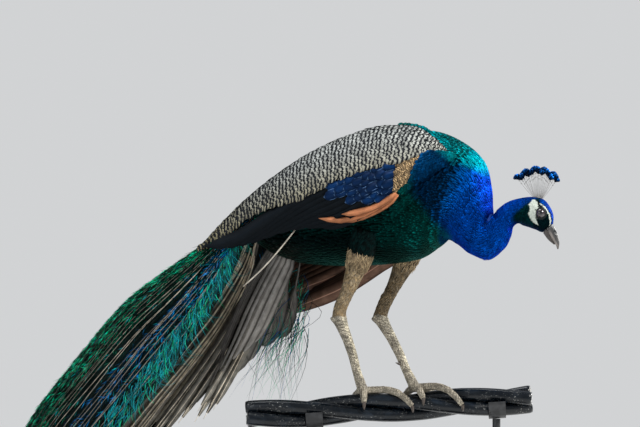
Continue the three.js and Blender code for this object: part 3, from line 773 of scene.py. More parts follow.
def unwrap_round(mesh, points):
    """An unwrap along the body and round its middle line, for baking."""
    loops = np.empty(len(mesh.loops), np.int32)
    mesh.loops.foreach_get("vertex_index", loops)
    along = (points[:, 0] - points[:, 0].min()) / np.ptp(points[:, 0])
    about = np.arctan2(points[:, 1], points[:, 2] - 0.98) / FULL_TURN + 0.5
    fill(mesh.uv_layers.new(name="OFBake").data, "uv", np.stack([along, about], -1)[loops])


EYE = np.array([0.3232, 0.0128, PERCH_Z + 0.3540])  # middle of the left eyeball; the right one mirrors it


def from_eyes(points):
    """Distance of points from the nearer eyeball's middle."""
    return np.min([np.linalg.norm(points - EYE * (1, side, 1), axis=1) for side in (-1, 1)], axis=0)
EYE_RADIUS = 0.0102

DOME = 0.62  # share of the eyeball's radius over which the clear dome rises


# ---- coat of head, neck and trunk
def wing_shade():
    """A tree of the wings' faces, to leave out feathers that they cover."""
    bm = bmesh.new()
    for node in ("wing_right", "wing_left"):
        bm.from_mesh(frame["nodes"][node].data)
    tree = BVHTree.FromBMesh(bm)
    bm.free()
    return tree


def covered(tree, points, normals, reach):
    """True where a ray outwards from a point meets the tree within reach."""
    hits = [tree.ray_cast(Vector(p + n * 0.001), Vector(n), reach)[0] is not None for p, n in zip(points, normals)]
    return np.array(hits, bool)


def body_roots(start, end, step_at, rng):
    """Staggered places and angles on the body with rows step_at(place) apart, thinned where the body bends."""
    fine = np.linspace(start, end, 900)
    centre = (body_point(fine, np.zeros(900)) + body_point(fine, np.full(900, math.pi))) / 2
    run = run_along(centre)
    sides = np.linspace(0, FULL_TURN, 25)
    places, angles, steps = [], [], []
    travelled = 0.0
    while travelled < run[-1]:
        place = np.interp(travelled, run, fine)
        step = step_at(place)
        girth = run_along(body_point(np.full(25, place), sides))[-1]
        count = max(8, int(girth / (step * 0.92)))
        stagger = 0.5 * (len(places) % 2)
        angles.append((np.arange(count) + stagger) / count * FULL_TURN + rng.normal(0, 0.1, count) / count * 3)
        places.append(place + rng.normal(0, 0.14, count) * step * (end - start) / run[-1])
        steps.append(np.full(count, step))
        travelled += step * 0.9
    return thinned(*map(np.concatenate, (places, angles, steps)))

NEIGHBOURS = [(a, b, c) for a in (-1, 0, 1) for b in (-1, 0, 1) for c in (-1, 0, 1)]


def thinned(places, angles, steps):
    """Drops roots that crowd on the inside of a bend."""
    points = body_point(places, angles)
    cells, kept = {}, []
    for i, point in enumerate(points):
        key = tuple((point / steps[i]).astype(int))
        near = (cells.get(tuple(np.add(key, off)), ()) for off in NEIGHBOURS)
        if all(np.abs(points[j] - point).sum() > steps[i] * 0.62 for group in near for j in group):
            cells.setdefault(key, []).append(i)
            kept.append(i)
    return places[kept], angles[kept], steps[kept]


SMALL = prototype([0.35, 0.95, 0.9, 0.0], [0.5, 1.0, 0.7, 0.0])
CONTOUR = prototype([0.3, 0.85, 1.0, 0.78, 0.0], [0.6, 1.0, 0.9, 0.5, 0.0])
ROUNDED = prototype([0.3, 0.8, 1.0, 0.98, 0.72, 0.0], [0.6, 1.0, 1.0, 0.8, 0.4, 0.0], 4)
FLAT = prototype([0.55, 0.9, 1.0, 0.96, 0.75, 0.0], [1.0, 1.0, 1.0, 1.0, 0.8, 0.0], 4)
HAIR = prototype([0.8, 1.0, 0.0], [0.8, 1.0, 0.0])


def body_coat(name, start, end, step_at, shape, long, wide, material, slot, seed, shade=None):
    """Feathers over a stretch of the body. Their length and width are shares of the row spacing."""
    rng = np.random.default_rng(seed)
    places, angles, steps = body_roots(start, end, step_at, rng)
    depth = lambda spots: np.interp(spots, [0, 4.0, 6.0, 11, 14, 21], [0.001, 0.0014, 0.0045, 0.006, 0.009, 0.0085])
    points, along, normals = frame_at(lambda a, b: body_point(a, b, depth(a)), places, angles)
    normals = facing(normals, points - body_point(places, angles, depth(places) + 0.002))
    tint = body_tint(points)
    keep = (from_eyes(points) > EYE_RADIUS + 0.0016) & ~bare(tint)
    if shade:
        keep &= ~covered(shade, points, normals, 0.05)
    points, along, normals, steps, places, angles, tint = (
        rows[keep] for rows in (points, along, normals, steps, places, angles, tint))
    count = len(points)
    lean = unit(along + normals * 0.05 + np.cross(along, normals) * rng.normal(0, 0.12, count)[:, None])
    # feathers that would lie over the face's bare white skin stay short
    over_bare = bare(body_tint(points + along * (steps * long)[:, None] * 0.8))
    long = long * np.where(over_bare, 0.45, 1.0)
    half = steps * wide * rng.uniform(0.85, 1.15, count)
    sizes = np.c_[half, steps * long * rng.uniform(0.85, 1.2, count), steps * 0.08]
    tint = tint * rng.uniform(0.7, 1.35, count)[:, None]
    cell = np.c_[(places - start) / (end - start), (angles % FULL_TURN) / FULL_TURN]
    coat = Coat()
    coat.stamp(shape, points, lean, normals, sizes, cell, tint, rng.random(count), 0.1)
    coat.piece(name, material, slot)


# ---- wings
BAR_EDGE = [0.45, 0.485, 0.565, 0.56, 0.55, 0.69, 0.60, 0.485, 0.55, 0.80]  # lower edge of the barred feathers, by row


def wing_tract(side, s, t, shape, size, lift, rng, turn, jitter, tint=(1, 1, 1), vary=None, curl=0.08, lean=0.05):
    """Feathers of one kind at places of a wing, pointing to its tip."""
    points, along, normals = frame_at(lambda a, b: wing_point(side, a, b, lift), s, t, (0.05, 0.01))
    normals *= np.sign(normals[:, 1:2]) * side
    across = np.cross(along, normals)
    across *= np.sign(-across[:, 2:3])
    heading = along + across * (turn + rng.normal(0, jitter, len(s)))[:, None] + normals * lean
    scale = rng.uniform(0.88, 1.12, (len(s), 1)) * np.asarray(size)
    cell = np.c_[np.clip(s / 9, 0, 1), np.clip(t, 0, 1)]
    vary = rng.random(len(s)) if vary is None else vary
    coat = Coat()
    coat.stamp(shape, points, heading, normals, scale, cell, tint(points) if callable(tint) else tint, vary, curl)
    return coat


def wing_run(side, s):
    """Distance along the wing's upper part from its front to row s."""
    fine = np.linspace(-0.2, 9.2, 200)
    return np.interp(s, fine, run_along(wing_point(side, fine, np.full(200, 0.3))))


def tan_front(t):
    """The row s where the breast's feathers overlap the front of the wing."""
    return np.interp(t, [0.0, 0.25, 0.48, 0.70, 0.92, 0.97, 1.05], [1.9, 0.2, 0.94, 1.15, 1.42, 2.1, 2.25])


def mantle_edge(s):
    """The height t down to which the mantle's feathers overlap the front of the wing."""
    return np.interp(s, [0.0, 0.5, 1.0, 2.0], [0.14, 0.07, 0.03, -0.018])

BLADE_THICK = 0.0009  # half the thickness of a flight feather's vane


def tract_grid(s_range, t_low, t_high, s_step, t_count, rng):
    """Staggered s and t over a band whose t limits are functions of s. The last rows come first."""
    s_all, t_all = [], []
    for index, s in enumerate(np.arange(s_range[1], s_range[0], -s_step)):
        low, high = t_low(s), t_high(s)
        count = max(1, int(t_count(s)))
        t = low + (high - low) * (np.arange(count) + 0.5 + 0.25 * (-1) ** index) / count
        s_all.append(s + rng.normal(0, 0.1 * s_step, count))
        t_all.append(t + rng.normal(0, 0.06, count) * (high - low) / count)
    return np.concatenate(s_all), np.concatenate(t_all)


def blade_row(count, start, start_step, end, end_step):
    """Starts and ends of long feathers, as (s, t, lift), each moved a step on from the one before."""
    return [tuple(tuple(np.add(place, np.multiply(step, k))) for place, step in ((start, start_step), (end, end_step)))
            for k in range(count)]


def wing_blades(side, ends, half, rng, rings=9):
    """Long feathers on a wing, each from (s, t, lift) to (s, t, lift), laid over one another in order."""
    coat = Coat()
    shares = np.linspace(0, 1, rings)
    profile = np.interp(shares, [0, 0.12, 0.75, 0.93, 1.0], [0.35, 0.85, 1.0, 0.72, 0.08])
    for index, (start, end) in enumerate(ends):
        s, t, lift = (start[i] + (end[i] - start[i]) * shares for i in range(3))
        t = t + 0.03 * np.sin(math.pi * shares)
        path = wing_point(side, s, t, lift)
        normal = unit(path - wing_point(side, s, t, lift - 0.01))
        cell = ((index + 0.5) / len(ends), 0.5)
        coat.strips(path, normal, half * profile, BLADE_THICK, cell, (1, 1, 1), rng.random(), patch=(0.05, 0.2))
        coat.strips(path + normal * BLADE_THICK * 0.7, normal, 0.0011 * np.linspace(1, 0.35, rings),
                    0.0007 * np.linspace(1, 0.4, rings), cell, (1, 1, 1), 0.5, patch=(0.002, 0.2))
    return coat


def bar_limit(s):
    return np.interp(s, range(len(BAR_EDGE)), BAR_EDGE)


def wing_materials():
    hues = chosen("wings")
    black, rufous, brown = hues.secondary, hues.rufous, hues.far_brown
    return {
        "barred": barred_plumage("barred_plumage", tuple(hues.bar_black)),
        "tan": barred_plumage("tan_plumage", times(hues.tan, 0.12), 0.0095, 1.4, -0.25),
        "covert": rimmed_plumage("covert_plumage", tuple(hues.covert_blue), tuple(hues.rim_blue)),
        "secondary": flight_plumage("secondary_plumage", tuple(black), times(black, 1.2), times(black, 1.6), 0.62, 0.03,
                                    0.15),
        "rufous": flight_plumage("rufous_plumage", tuple(rufous), times(rufous, 0.45), times(rufous, 1.5)),
        "far": flight_plumage("far_wing_plumage", tuple(brown), times(brown, 0.5), times(brown, 2.6)),
        "cover": plain_plumage("wing_cover_plumage", 0.42, 0.8, 0.4, 1.5, 0.3, edge=(0.1, 0.8, 0.8)),
    }


def chord_of(side, s):
    """The wing's height from top edge to under edge at row s."""
    return np.linalg.norm(np.diff(wing_point(side, np.array([s, s]), np.array([0.0, 1.0])), axis=0))


def near_secondaries():
    ends = blade_row(9, (2.5, 0.88, -0.010), (0.15, -0.050, 0), (4.9, 0.985, -0.007), (0.535, -0.006, 0))
    # the last ones rise clear of the train
    return [(start, (s, t, lift + 0.0035 * max(0, k - 5))) for k, (start, (s, t, lift)) in enumerate(ends)]


def far_secondaries():
    return blade_row(12, (2.3, 0.80, -0.010), (0.1, -0.04, 0), (5.6, 0.80, -0.006), (0.33, -0.035, 0.0003))

NEAR_PRIMARIES = [((1.95, 0.990, 0.005), (4.30, 0.972, 0.002)), ((2.0, 0.972, 0.003), (4.75, 0.960, 0.002)),
                  ((2.05, 0.958, 0.002), (4.0, 0.945, 0.003))]


def far_primaries():
    """Four long outer feathers, then shorter ones whose tips step up the wing."""
    return [*blade_row(4, (1.3, 0.86, -0.022), (0.1, -0.020, 0.0005), (7.25, 0.945, -0.019), (-0.30, -0.012, 0.0006)),
            *blade_row(12, (1.7, 0.79, -0.020), (0.05, -0.035, 0.0005), (6.9, 0.835, -0.016), (-0.03, -0.035, 0.0006))]


def build_scapulars(side, chord, edge, rng):
    """Barred shoulder feathers, with painted light from above that makes them lighter and bluer towards the top and the
    back.
    """
    cream = np.array(chosen("wings").cream)

    def sky_lit_bar_tone(points):
        x, z = points[:, 0] * 1000, (points[:, 2] - PERCH_Z) * 1000
        # painted light: the light bars are lighter and bluer towards the top and the back, as if lit from the sky, and
        # dimmer and yellower below
        height = eased(z + 0.30 * (20 - x) * (x < 20), 400, 520)
        tone = blend(height, cream * (0.70, 0.65, 0.46), cream * (0.96, 1.06, 1.25))
        return tone * rng.uniform(0.7, 1.25, (len(points), 1))

    ridge = mantle_edge if side < 0 else (lambda s: np.interp(s, [0.7, 1.3, 2.0, 2.6], [0.26, 0.20, 0.08, -0.018]))
    s, t = tract_grid((-0.1 if side < 0 else 0.7, 9.1), lambda s: ridge(s) + 0.015, edge, 0.14,
                      lambda s: edge(s) * chord(s) / 0.0095 + 1, rng)
    small = np.interp(s, [0, 1.5, 9], [0.45, 1.0, 1.0])[:, None]
    shaken = np.interp(s, [3.5, 6.0, 9.0], [0.09, 0.17, 0.22])
    bars_passed = wing_run(side, s) / BAR_PERIOD + rng.normal(0, 1, len(s)) * shaken
    return wing_tract(side, s, t, ROUNDED, small * (0.0078, SCAPULAR_LONG, 0.0006), -0.003, rng, 0.08, 0.10, sky_lit_bar_tone,
               bars_passed)


def build_coverts(side, chord, edge, rng):
    """Rounded blue feathers under the barred ones."""
    floor = (lambda s: float(np.interp(s, [1.9, 3.04, 4.04, 4.4], [0.965, 0.90, 0.73, 0.66]))) if side < 0 else (
        lambda s: 0.6)
    s, t = tract_grid((1.86, 4.02), lambda s: edge(s) + 0.01, floor, 0.28,
                      lambda s: max(2, round((floor(s) - edge(s)) * chord(s) / 0.0150)), rng)
    return wing_tract(side, s, t, FLAT, (0.0105, 0.034, 0.0003), -0.0042, rng, 0.10, 0.08, curl=0.01, lean=0.03)


def build_lesser_coverts(side, chord, edge, rng):
    """Small tan feathers at the wing's front edge."""
    tan = np.array(chosen("wings").tan)
    s, t = tract_grid((0.1, 2.04), lambda s: edge(s) - 0.02, lambda s: 1.0, 0.085,
                      lambda s: (1.02 - edge(s)) * chord(s) / 0.0046 + 1, rng)
    ahead = (s > tan_front(t) - 0.14) & (t < 0.95) if side < 0 else (s > 0.6) & (t < 0.80)
    return wing_tract(side, s[ahead], t[ahead], CONTOUR, (0.0038, 0.0115, 0.0003), -0.003, rng, 0.4, 0.25,
               lambda points: tan * rng.uniform(0.3, 1.5, (len(points), 1)))


def build_wing_cover(side, chord, rng):
    """Breast and mantle feathers that lie over the wing's front edge."""
    low = 1.14 if side < 0 else 0.6
    s, t = tract_grid((-0.15, 2.4), lambda s: -0.03, lambda s: low, 0.07,
                      lambda s: (1.17 if side < 0 else 0.6) * chord(s) / 0.0046 + 2, rng)
    under = (t < mantle_edge(s)) | ((s < tan_front(t)) & (t > 0.40)) if side < 0 else (
        (s < 0.75) & (t < 0.55) & (t > 0.30))
    s, t = s[under], t[under]
    # past the wing's lower edge the feathers come down onto the flank, and are darkened there with painted shade
    sink = -0.0015 - 0.010 * eased(t, 0.95, 1.14)
    under_wing_shade = (1 - 0.62 * eased(t, 0.80, 1.10) * eased(s, -0.1, 0.3))[:, None]
    return wing_tract(side, s, t, CONTOUR, (0.0044, 0.0150, 0.0003), sink, rng, 0.12, 0.14,
               lambda points: body_tint(points) * under_wing_shade * rng.uniform(0.75, 1.3, (len(points), 1)))


def build_wing(side, materials):
    """Barred shoulder feathers, tan and blue coverts and flight feathers of one wing."""
    rng = np.random.default_rng(20 + side)
    near = side < 0
    word, slot = ("right", "wing_plumage") if near else ("left", "far_wing_plumage")
    chord = lambda s: chord_of(side, s)
    edge = bar_limit if near else (lambda s: bar_limit(s) * (chord_of(-1, s) / chord(s)))

    ends, half = (near_secondaries(), 0.0165) if near else (far_secondaries(), 0.020)
    wing_blades(side, ends, half, rng).piece(f"secondaries_{word}", materials["secondary"], slot, ["wing_" + word])
    ends, half, rings = (NEAR_PRIMARIES, 0.0080, 9) if near else (far_primaries(), 0.0180, 14)
    wing_blades(side, ends, half, rng, rings).piece(f"primaries_{word}", materials["rufous" if near else "far"], slot)
    build_scapulars(side, chord, edge, rng).piece(f"scapulars_{word}", materials["barred"], slot)
    build_coverts(side, chord, edge, rng).piece(f"coverts_{word}", materials["covert"], slot)
    build_lesser_coverts(side, chord, edge, rng).piece(f"lesser_coverts_{word}", materials["tan"], slot)
    build_wing_cover(side, chord, rng).piece(f"wing_cover_{word}", materials["cover"], slot)


# ---- train and tail
def train_hue(across, rng):
    """Colour of train barbs by their place across the arch: 0 at its right edge, a half on the ridge, 1 at its left."""
    hues = chosen("train")
    stops = np.array([0.0, 0.080, 0.105, 0.135, 0.155, 0.19, 0.24, 0.29, 0.50])
    shades = np.array([hues.turquoise, hues.turquoise, hues.blue, hues.blue, hues.dark, hues.dark,
                       np.array(hues.green) * 0.35, hues.green, hues.green])
    folded = np.clip(0.5 - np.abs(across - 0.5) + rng.normal(0, 0.014, len(across)), 0, 0.5)
    tint = np.stack([np.interp(folded, stops, shades[:, i]) for i in range(3)], -1)
    dull = rng.random(len(across)) < np.interp(folded, [0, 0.10, 0.17, 0.25, 0.5], [0.42, 0.40, 0.6, 0.5, 0.35])
    tint[dull] = tint[dull] * 0.06 + np.array(hues.dark) * 0.2
    stray = rng.random(len(across))
    tint[stray < 0.05] = hues.turquoise
    tint[(stray > 0.72) & (folded < 0.10)] = hues.blue
    return tint * rng.uniform(0.6, 1.6, (len(across), 1))


def loose_barbs(name):
    """Barbs that are dark where they leave the shaft and shine towards their tips."""
    net = Net(name, Roughness=0.4, Metallic=0.45, Specular_IOR_Level=0.2, Specular_Tint=(0.1, 0.9, 0.8))
    shade = net.product(net.step(net.lie()[1], 0.10, 0.60, 0.10, 1.35), net.patchy(60.0, 0.6, 1.4))
    return net.paint(Base_Color=net.scaled(net.tint(), shade))


PLUME_RINGS = 26

PLUME_SHARES = np.linspace(0, 1, PLUME_RINGS)

PLUME_PATCH = (0.004, 0.9)  # a plume's strip on the bake map

WEB_THICK = 0.0006


def plume_path(rng, across, first, last, depth, sway):
    """One plume's places, middle line under the train's surface, direction and outward normals."""
    places = np.linspace(first, last, PLUME_RINGS)
    angle = math.pi * (1 - across) + sway * np.sin(rng.uniform(0, FULL_TURN) + places * rng.uniform(0.25, 0.7))
    thin = np.minimum(depth, 0.8 * smooth(TRAIN, places)[..., 5])
    return places, *under_plumes(TRAIN, places, np.clip(angle, 0.02, math.pi - 0.02), thin, 0.004)


def build_train():
    """Long plumes in layers: pale shafts, a herringbone of loose barbs and an eye near each tip."""
    rng = np.random.default_rng(7)
    hues = chosen("train")
    shafts, shade_webs, ocelli, lining = Coat(), Coat(), Coat(), Coat()
    barbs = {name: Coat() for name in ("train_base", "train_middle", "train_end")}
    # depth under the surface, plumes, spacing of barbs, their stagger
    layers = [(0.0040, hues.plumes, 0.0040, 0.0), (0.0085, hues.plumes - 8, 0.0078, 0.35),
              (0.0150, hues.plumes - 18, 0.0210, 0.7)]
    serial, total = 0, 4 * hues.plumes
    for layer, (depth, count, spacing, offset) in enumerate(layers):
        for k in range(count):
            across = float(np.clip((k + 0.5 + rng.normal() * 0.2 + offset) / count, 0.008, 0.992))
            first = rng.uniform(0.0, 1.4) if layer == 0 else rng.uniform(0.3, 2.0)
            last = 12.0 - 3.8 * rng.uniform(0, 1) ** 1.6 - (0.6 if layer == 2 else 0.0)
            places, path, along, normals = plume_path(rng, across, first, last, depth, 0.045)
            cell = ((serial + 0.5) / total, 0.5)
            add_shaft(shafts, rng, min(across, 1 - across), places, path, normals, cell)
            half = 0.012 * np.interp(PLUME_SHARES, [0, 0.1, 0.9, 1], [0.5, 1, 0.8, 0.1])
            # dark webs under each plume's barbs are painted shade that shows through the gaps between the barbs
            shade_webs.strips(path[::2] - normals[::2] * 0.0016, normals[::2], half[::2], WEB_THICK, cell,
                        np.array(hues.dark) * rng.uniform(0.2, 0.6), rng.random(), patch=PLUME_PATCH)
            add_barbs(barbs, rng, across, places, path, along, normals, spacing, cell[0])
            if last > 8.4 and layer < 2:
                ocelli.stamp(OCELLUS, path[-4], unit(path[-2] - path[-5]), normals[-4], (0.019, 0.05, 0.0009), cell,
                             (1, 1, 1), rng.random(), patch=0.006)
            serial += 1
    add_lining(lining, rng, serial, total)
    iridescent, quills = loose_barbs("train_barbs"), tinted("train_shafts", 0.5)
    for name, coat in barbs.items():
        coat.piece(name + "_barbs", iridescent, "train_plumage", [name])
    shafts.piece("train_shafts", quills, "train_plumage")
    shade_webs.piece("train_shade_webs", tinted("train_shade_webs", 0.5, Specular_IOR_Level=0.15), "train_plumage")
    lining.piece("train_lining", quills, "train_plumage")
    ocelli.piece("train_eyes", eye_plumage(), "train_plumage")


def add_shaft(coat, rng, edge, places, path, normals, cell):
    """A plume's shaft, stouter, paler and higher towards the train's edges."""
    pale = np.interp(edge, [0.0, 0.08, 0.14, 0.21, 0.30, 0.5], [1.0, 0.7, 0.95, 0.85, 0.40, 0.25])
    shaft = np.array(chosen("train").shaft)
    tint = shaft * pale * rng.choice([0.45, 0.8, 1.15]) * rng.uniform(0.7, 1.2)
    quill = np.linspace(1.0, 0.3, PLUME_RINGS)
    broad = np.interp(edge, [0, 0.06, 0.15, 0.5], [0.0010, 0.0009, 0.0008, 0.0006])
    rise = np.interp(edge, [0, 0.1, 0.2, 0.35], [0.0022, 0.0020, 0.0018, 0.0004])
    rise = rise * np.interp(places, [1.5, 5.0], [0.0, 1.0])[:, None]
    coat.strips(path + normals * rise, normals, broad * quill, 0.8 * broad * quill, cell, tint, rng.random(),
                patch=PLUME_PATCH)


def add_lining(coat, rng, serial, total):
    """Dun plumes under the train, and a few long ones that hang free between it and the tail."""
    for k in range(60):
        across = min(max((k + 0.5 + rng.normal() * 0.3) / 60, 0.003), 0.997)
        _, path, _, normals = plume_path(rng, across, rng.uniform(0.6, 1.8), rng.uniform(8.5, 11.6), 0.019, 0.05)
        half = 0.0080 * np.interp(PLUME_SHARES, [0, 0.1, 0.9, 1], [0.4, 1, 0.8, 0.1])
        dun = np.array((0.27, 0.25, 0.21)) * rng.choice([0.25, 0.7, 1.3]) * rng.uniform(0.7, 1.2)
        add_dun_plume(coat, rng, path, -normals, half, dun, (serial + 0.5) / total, (0.0018, 0.0018, 0.0014),
                      (1.1, 1.9))
        serial += 1
    for k in range(26):
        share = (k + 0.5) / 26
        head = np.array([-0.285 + 0.03 * share, 0.035, PERCH_Z + 0.240])
        foot = np.array([-0.520 + 0.170 * share, -0.050 + 0.03 * rng.random(),
                         PERCH_Z - 0.085 - 0.04 * rng.random() + 0.07 * share])
        bow = np.array([0.012, 0, 0]) * np.sin(math.pi * PLUME_SHARES)[:, None]
        path = head + (foot - head) * PLUME_SHARES[:, None] + bow
        normals = np.tile(unit(np.array([0.3 + 0.3 * rng.normal(), -0.95, 0.1])), (PLUME_RINGS, 1))
        half = 0.0085 * np.interp(PLUME_SHARES, [0, 0.2, 0.85, 1], [0.3, 1, 0.9, 0.1])
        dun = np.array((0.24, 0.225, 0.19)) * rng.choice([0.35, 0.8, 1.2]) * rng.uniform(0.8, 1.2)
        add_dun_plume(coat, rng, path, normals, half, dun, (serial + 0.5) / total, (0.001, 0.0013, 0.001), (1.0, 2.0))
        serial += 1


def add_dun_plume(coat, rng, path, up, half, dun, u, sizes, pale):
    """A dun vane and its pale shaft. Sizes are the shaft's lift, half width and thickness."""
    shaft = np.array(chosen("train").shaft)
    quill = np.linspace(1.0, 0.4, PLUME_RINGS)
    lift, wide, thick = sizes
    coat.strips(path[::2], up[::2], half[::2], WEB_THICK, (u, 0.5), dun, rng.random(), patch=PLUME_PATCH)
    coat.strips(path + up * lift, up, wide * quill, thick * quill, (u, 0.5), shaft * rng.uniform(*pale),
                rng.random(), patch=PLUME_PATCH)


def add_barbs(barbs, rng, across, places, path, along, normals, spacing, u):
    """A herringbone of loose barbs on both sides of one plume, gathered by the CAD part that they stand for."""
    hues = chosen("train")
    run = run_along(path)
    spots = np.arange(0.01, run[-1] - 0.004, spacing) + rng.uniform(0, spacing)
    spots = spots[spots < run[-1]]
    n = len(spots)
    at = lambda rows: np.stack([np.interp(spots, run, rows[:, i]) for i in range(3)], -1)
    place, root, ahead, up = np.interp(spots, run, places), at(path), unit(at(along)), unit(at(normals))
    # barbs lie in locks of three
    locks = n // 3 + 1
    clump = np.repeat(rng.choice([0.12, 0.5, 1.0, 1.9], locks, p=[0.3, 0.22, 0.26, 0.22]), 3)[:n, None]
    drift = np.repeat(rng.normal(0, 0.14, locks), 3)[:n]
    node = np.digitize(place, [4.0, 8.0])
    for side in (-1, 1):
        slant = np.radians(rng.normal(26, 6, n))[:, None] + drift[:, None]
        sideways = np.cross(ahead, up) * side
        heading = ahead * np.cos(slant) + sideways * np.sin(slant) + up * rng.normal(0.05, 0.10, n)[:, None]
        long = hues.barb * rng.uniform(0.55, 1.3, n) * np.interp(place, [0, 1.5, 3.5, 9, 12], [1.4, 1.4, 1.0, 1.0, 1.8])
        size = np.c_[np.full(n, 0.00065), long, np.full(n, 0.0005)]
        tint = train_hue(np.full(n, across), rng) * clump
        cells = np.c_[np.full(n, u), (spots + 0.01 * side) / (run[-1] + 0.1)]
        bend, sway = rng.normal(0.06, 0.05, n), -side * rng.normal(0.12, 0.20, n)
        for index, coat in enumerate(barbs.values()):
            pick = node == index
            if pick.any():
                picked = (rows[pick] for rows in (root, heading, up, size, cells, tint))
                coat.stamp(HAIR, *picked, rng.random(pick.sum()), bend[pick], sway[pick])


OCELLUS = prototype([0.15, 0.55, 0.85, 1.0, 0.95, 0.7, 0.0], [0.5, 1.0, 1.0, 1.0, 0.9, 0.6, 0.0], 4)


def eye_plumage():
    """Rings of bronze, turquoise and dark violet round a notched heart."""
    net = Net("eye_plumage", Metallic=0.4, Roughness=0.35)
    across, along = net.lie()
    rise = net.math("MULTIPLY_ADD", along, 2.2, -1.25)
    notch = net.product(net.step(net.math("ABSOLUTE", across), 0.0, 0.25, 0.35, 0.0),
                     net.step(rise, -0.2, 0.5))
    rings = net.ramp(net.math("ADD", net.reach(across, rise), notch),
                     [(0.0, (0.008, 0.004, 0.05)), (0.27, (0.010, 0.006, 0.08)), (0.32, (0.0, 0.30, 0.38)),
                      (0.45, (0.0, 0.36, 0.34)), (0.50, (0.22, 0.10, 0.03)), (0.74, (0.26, 0.13, 0.03)),
                      (0.80, (0.05, 0.22, 0.05)), (1.0, (0.02, 0.14, 0.05))])
    net.bump(net.barbs(across, along, 160.0, 0.5), 0.3, 0.0003)
    return net.paint(Base_Color=rings)


def build_tail():
    """Stiff brown tail feathers in a fan under the train, and loose barbs that hang behind them."""
    rng = np.random.default_rng(11)
    vane = tuple(chosen("train").tail)
    coat = Coat()
    rings = count = 18
    shares = np.linspace(0, 1, rings)
    for k in range(count):
        # the middle pair lies on top, and the outer ones tuck in under it towards both sides
        off = ((k % 2) * 2 - 1) * (count - 1 - k) / (count - 1)
        angle = math.pi / 2 + off * math.radians(80) + 0.05 * rng.normal()
        places = np.linspace(0.0, 4.1 - 0.75 * abs(off) ** 2 + 0.12 * rng.normal(), rings)
        # on the left the drooped wing lies over bare quills
        opens = 0.38 if off < -0.1 else 0.05
        profile = np.interp(shares, [0, opens, opens + 0.12, 0.7, 0.92, 1.0], [0.14, 0.16, 0.75, 1.0, 0.85, 0.15])
        path, along, normals = under_plumes(TAIL, places, np.full(rings, angle), 0.001 + 0.008 * abs(off), 0.003)
        normals = unit(normals + np.cross(along, normals) * (0.22 + 0.12 * rng.normal()))
        cell = ((k + 0.5) / count, 0.5)
        coat.strips(path, normals, 0.019 * profile, 0.0008, cell, np.full(3, rng.uniform(0.75, 1.35)), rng.random(),
                    patch=(0.045, 0.9))
        taper = np.linspace(1, 0.35, rings)
        coat.strips(path + normals * 0.0008, normals, 0.0014 * taper, 0.0011 * taper, cell, (1.3, 1.3, 1.3), 0.5,
                    patch=(0.002, 0.9))
    # the tail's dark edge is painted shade between the overlapping feathers
    material = flight_plumage("tail_plumage", vane, times(vane, 0.25), (0.50, 0.46, 0.40), 0.6, 0.03)
    coat.piece("tail_blades", material, "tail_plumage", ["tail"])
    add_wisps(rng)
    add_fringe(rng)
    add_bare_quill()


def add_wisps(rng):
    """Long loose barbs that hang on the left side."""
    wisps = Coat()
    count, rings = 150, 8
    shares = np.linspace(0, 1, rings)
    for k in range(count):
        root = np.array([rng.uniform(-0.27, -0.19), rng.uniform(0.035, 0.075), PERCH_Z + rng.uniform(0.10, 0.24)])
        fall, drift, bend = rng.uniform(0.08, 0.19), rng.normal(-0.045, 0.03), rng.normal(0, 0.016)
        path = np.stack([root[0] + drift * shares + bend * np.sin(math.pi * shares * 1.4),
                         root[1] + 0.01 * shares * rng.normal(), root[2] - fall * shares ** 1.2], -1)
        tint = train_hue(np.array([rng.choice([0.06, 0.16, 0.28, 0.45])]), rng)
        wisps.strips(path, (0, 1.0, 0.2), 0.0006 * (1.1 - shares), 0.0004 * (1.1 - shares),
                     ((k + 0.5) / count, 0.5), tint, rng.random())
    wisps.piece("tail_wisps", tinted("tail_wisps", 0.45, 0.4), "train_plumage")


def add_fringe(rng):
    """A fringe of barbs, with a curl here and there, along the train's right edge."""
    hues = chosen("train")
    fringe = Coat()
    rings, count = 7, 900
    shares = np.linspace(0, 1, rings)
    for k in range(count):
        curl = k % 18 == 0
        place = rng.uniform(0.15, 8.6) ** (1.0 if k % 3 else 0.7)
        angle = math.pi * rng.uniform(0.93, 1.0)
        root = plume_point(TRAIN, np.array([place]), np.array([angle]), 0.001)[0]
        turn = rng.uniform(1.2, 2.8) * rng.choice([-1, 1]) if curl else rng.normal(0, 0.55)
        bearing = rng.normal(np.interp(place, [0, 3, 8], [4.95, 4.75, 4.4]), 0.30) + turn * shares
        reach = (rng.uniform(0.03, 0.07) if curl else rng.uniform(0.020, 0.046)) / (rings - 1)
        x, z = (np.r_[0, np.cumsum(turned(bearing[:-1]) * reach)] for turned in (np.cos, np.sin))
        path = root + np.stack([x, -0.006 * np.sin(math.pi * shares) - 0.004 * shares * rng.random(), z], -1)
        tint = np.array(hues.turquoise if rng.random() < 0.75 else hues.green) * rng.choice([0.15, 0.7, 1.3, 1.9])
        fringe.strips(path, RIGHT, 0.0007 * (1.15 - shares), 0.0005 * (1.15 - shares), ((k + 0.5) / count, 0.2), tint,
                      rng.random(), sides=3)
    fringe.piece("train_fringe", tinted("train_fringe", 0.45, 0.3), "train_plumage")


def add_bare_quill():
    """One pale quill that stands free of the flank."""
    quill = Coat()
    shares = np.linspace(0, 1, 10)
    sag = 0.012 * np.sin(math.pi * shares)
    path = np.stack([-0.155 - 0.120 * shares, -0.098 - sag, PERCH_Z + 0.330 - 0.125 * shares - sag], -1)
    quill.strips(path, RIGHT, 0.0022 * np.linspace(0.5, 1, 10) * np.linspace(1.2, 0.6, 10), 0.0012, (0.5, 0.5),
                 (0.62, 0.56, 0.46), 0.5)
    quill.piece("bare_quill", tinted("bare_quill", 0.5), "tail_plumage")


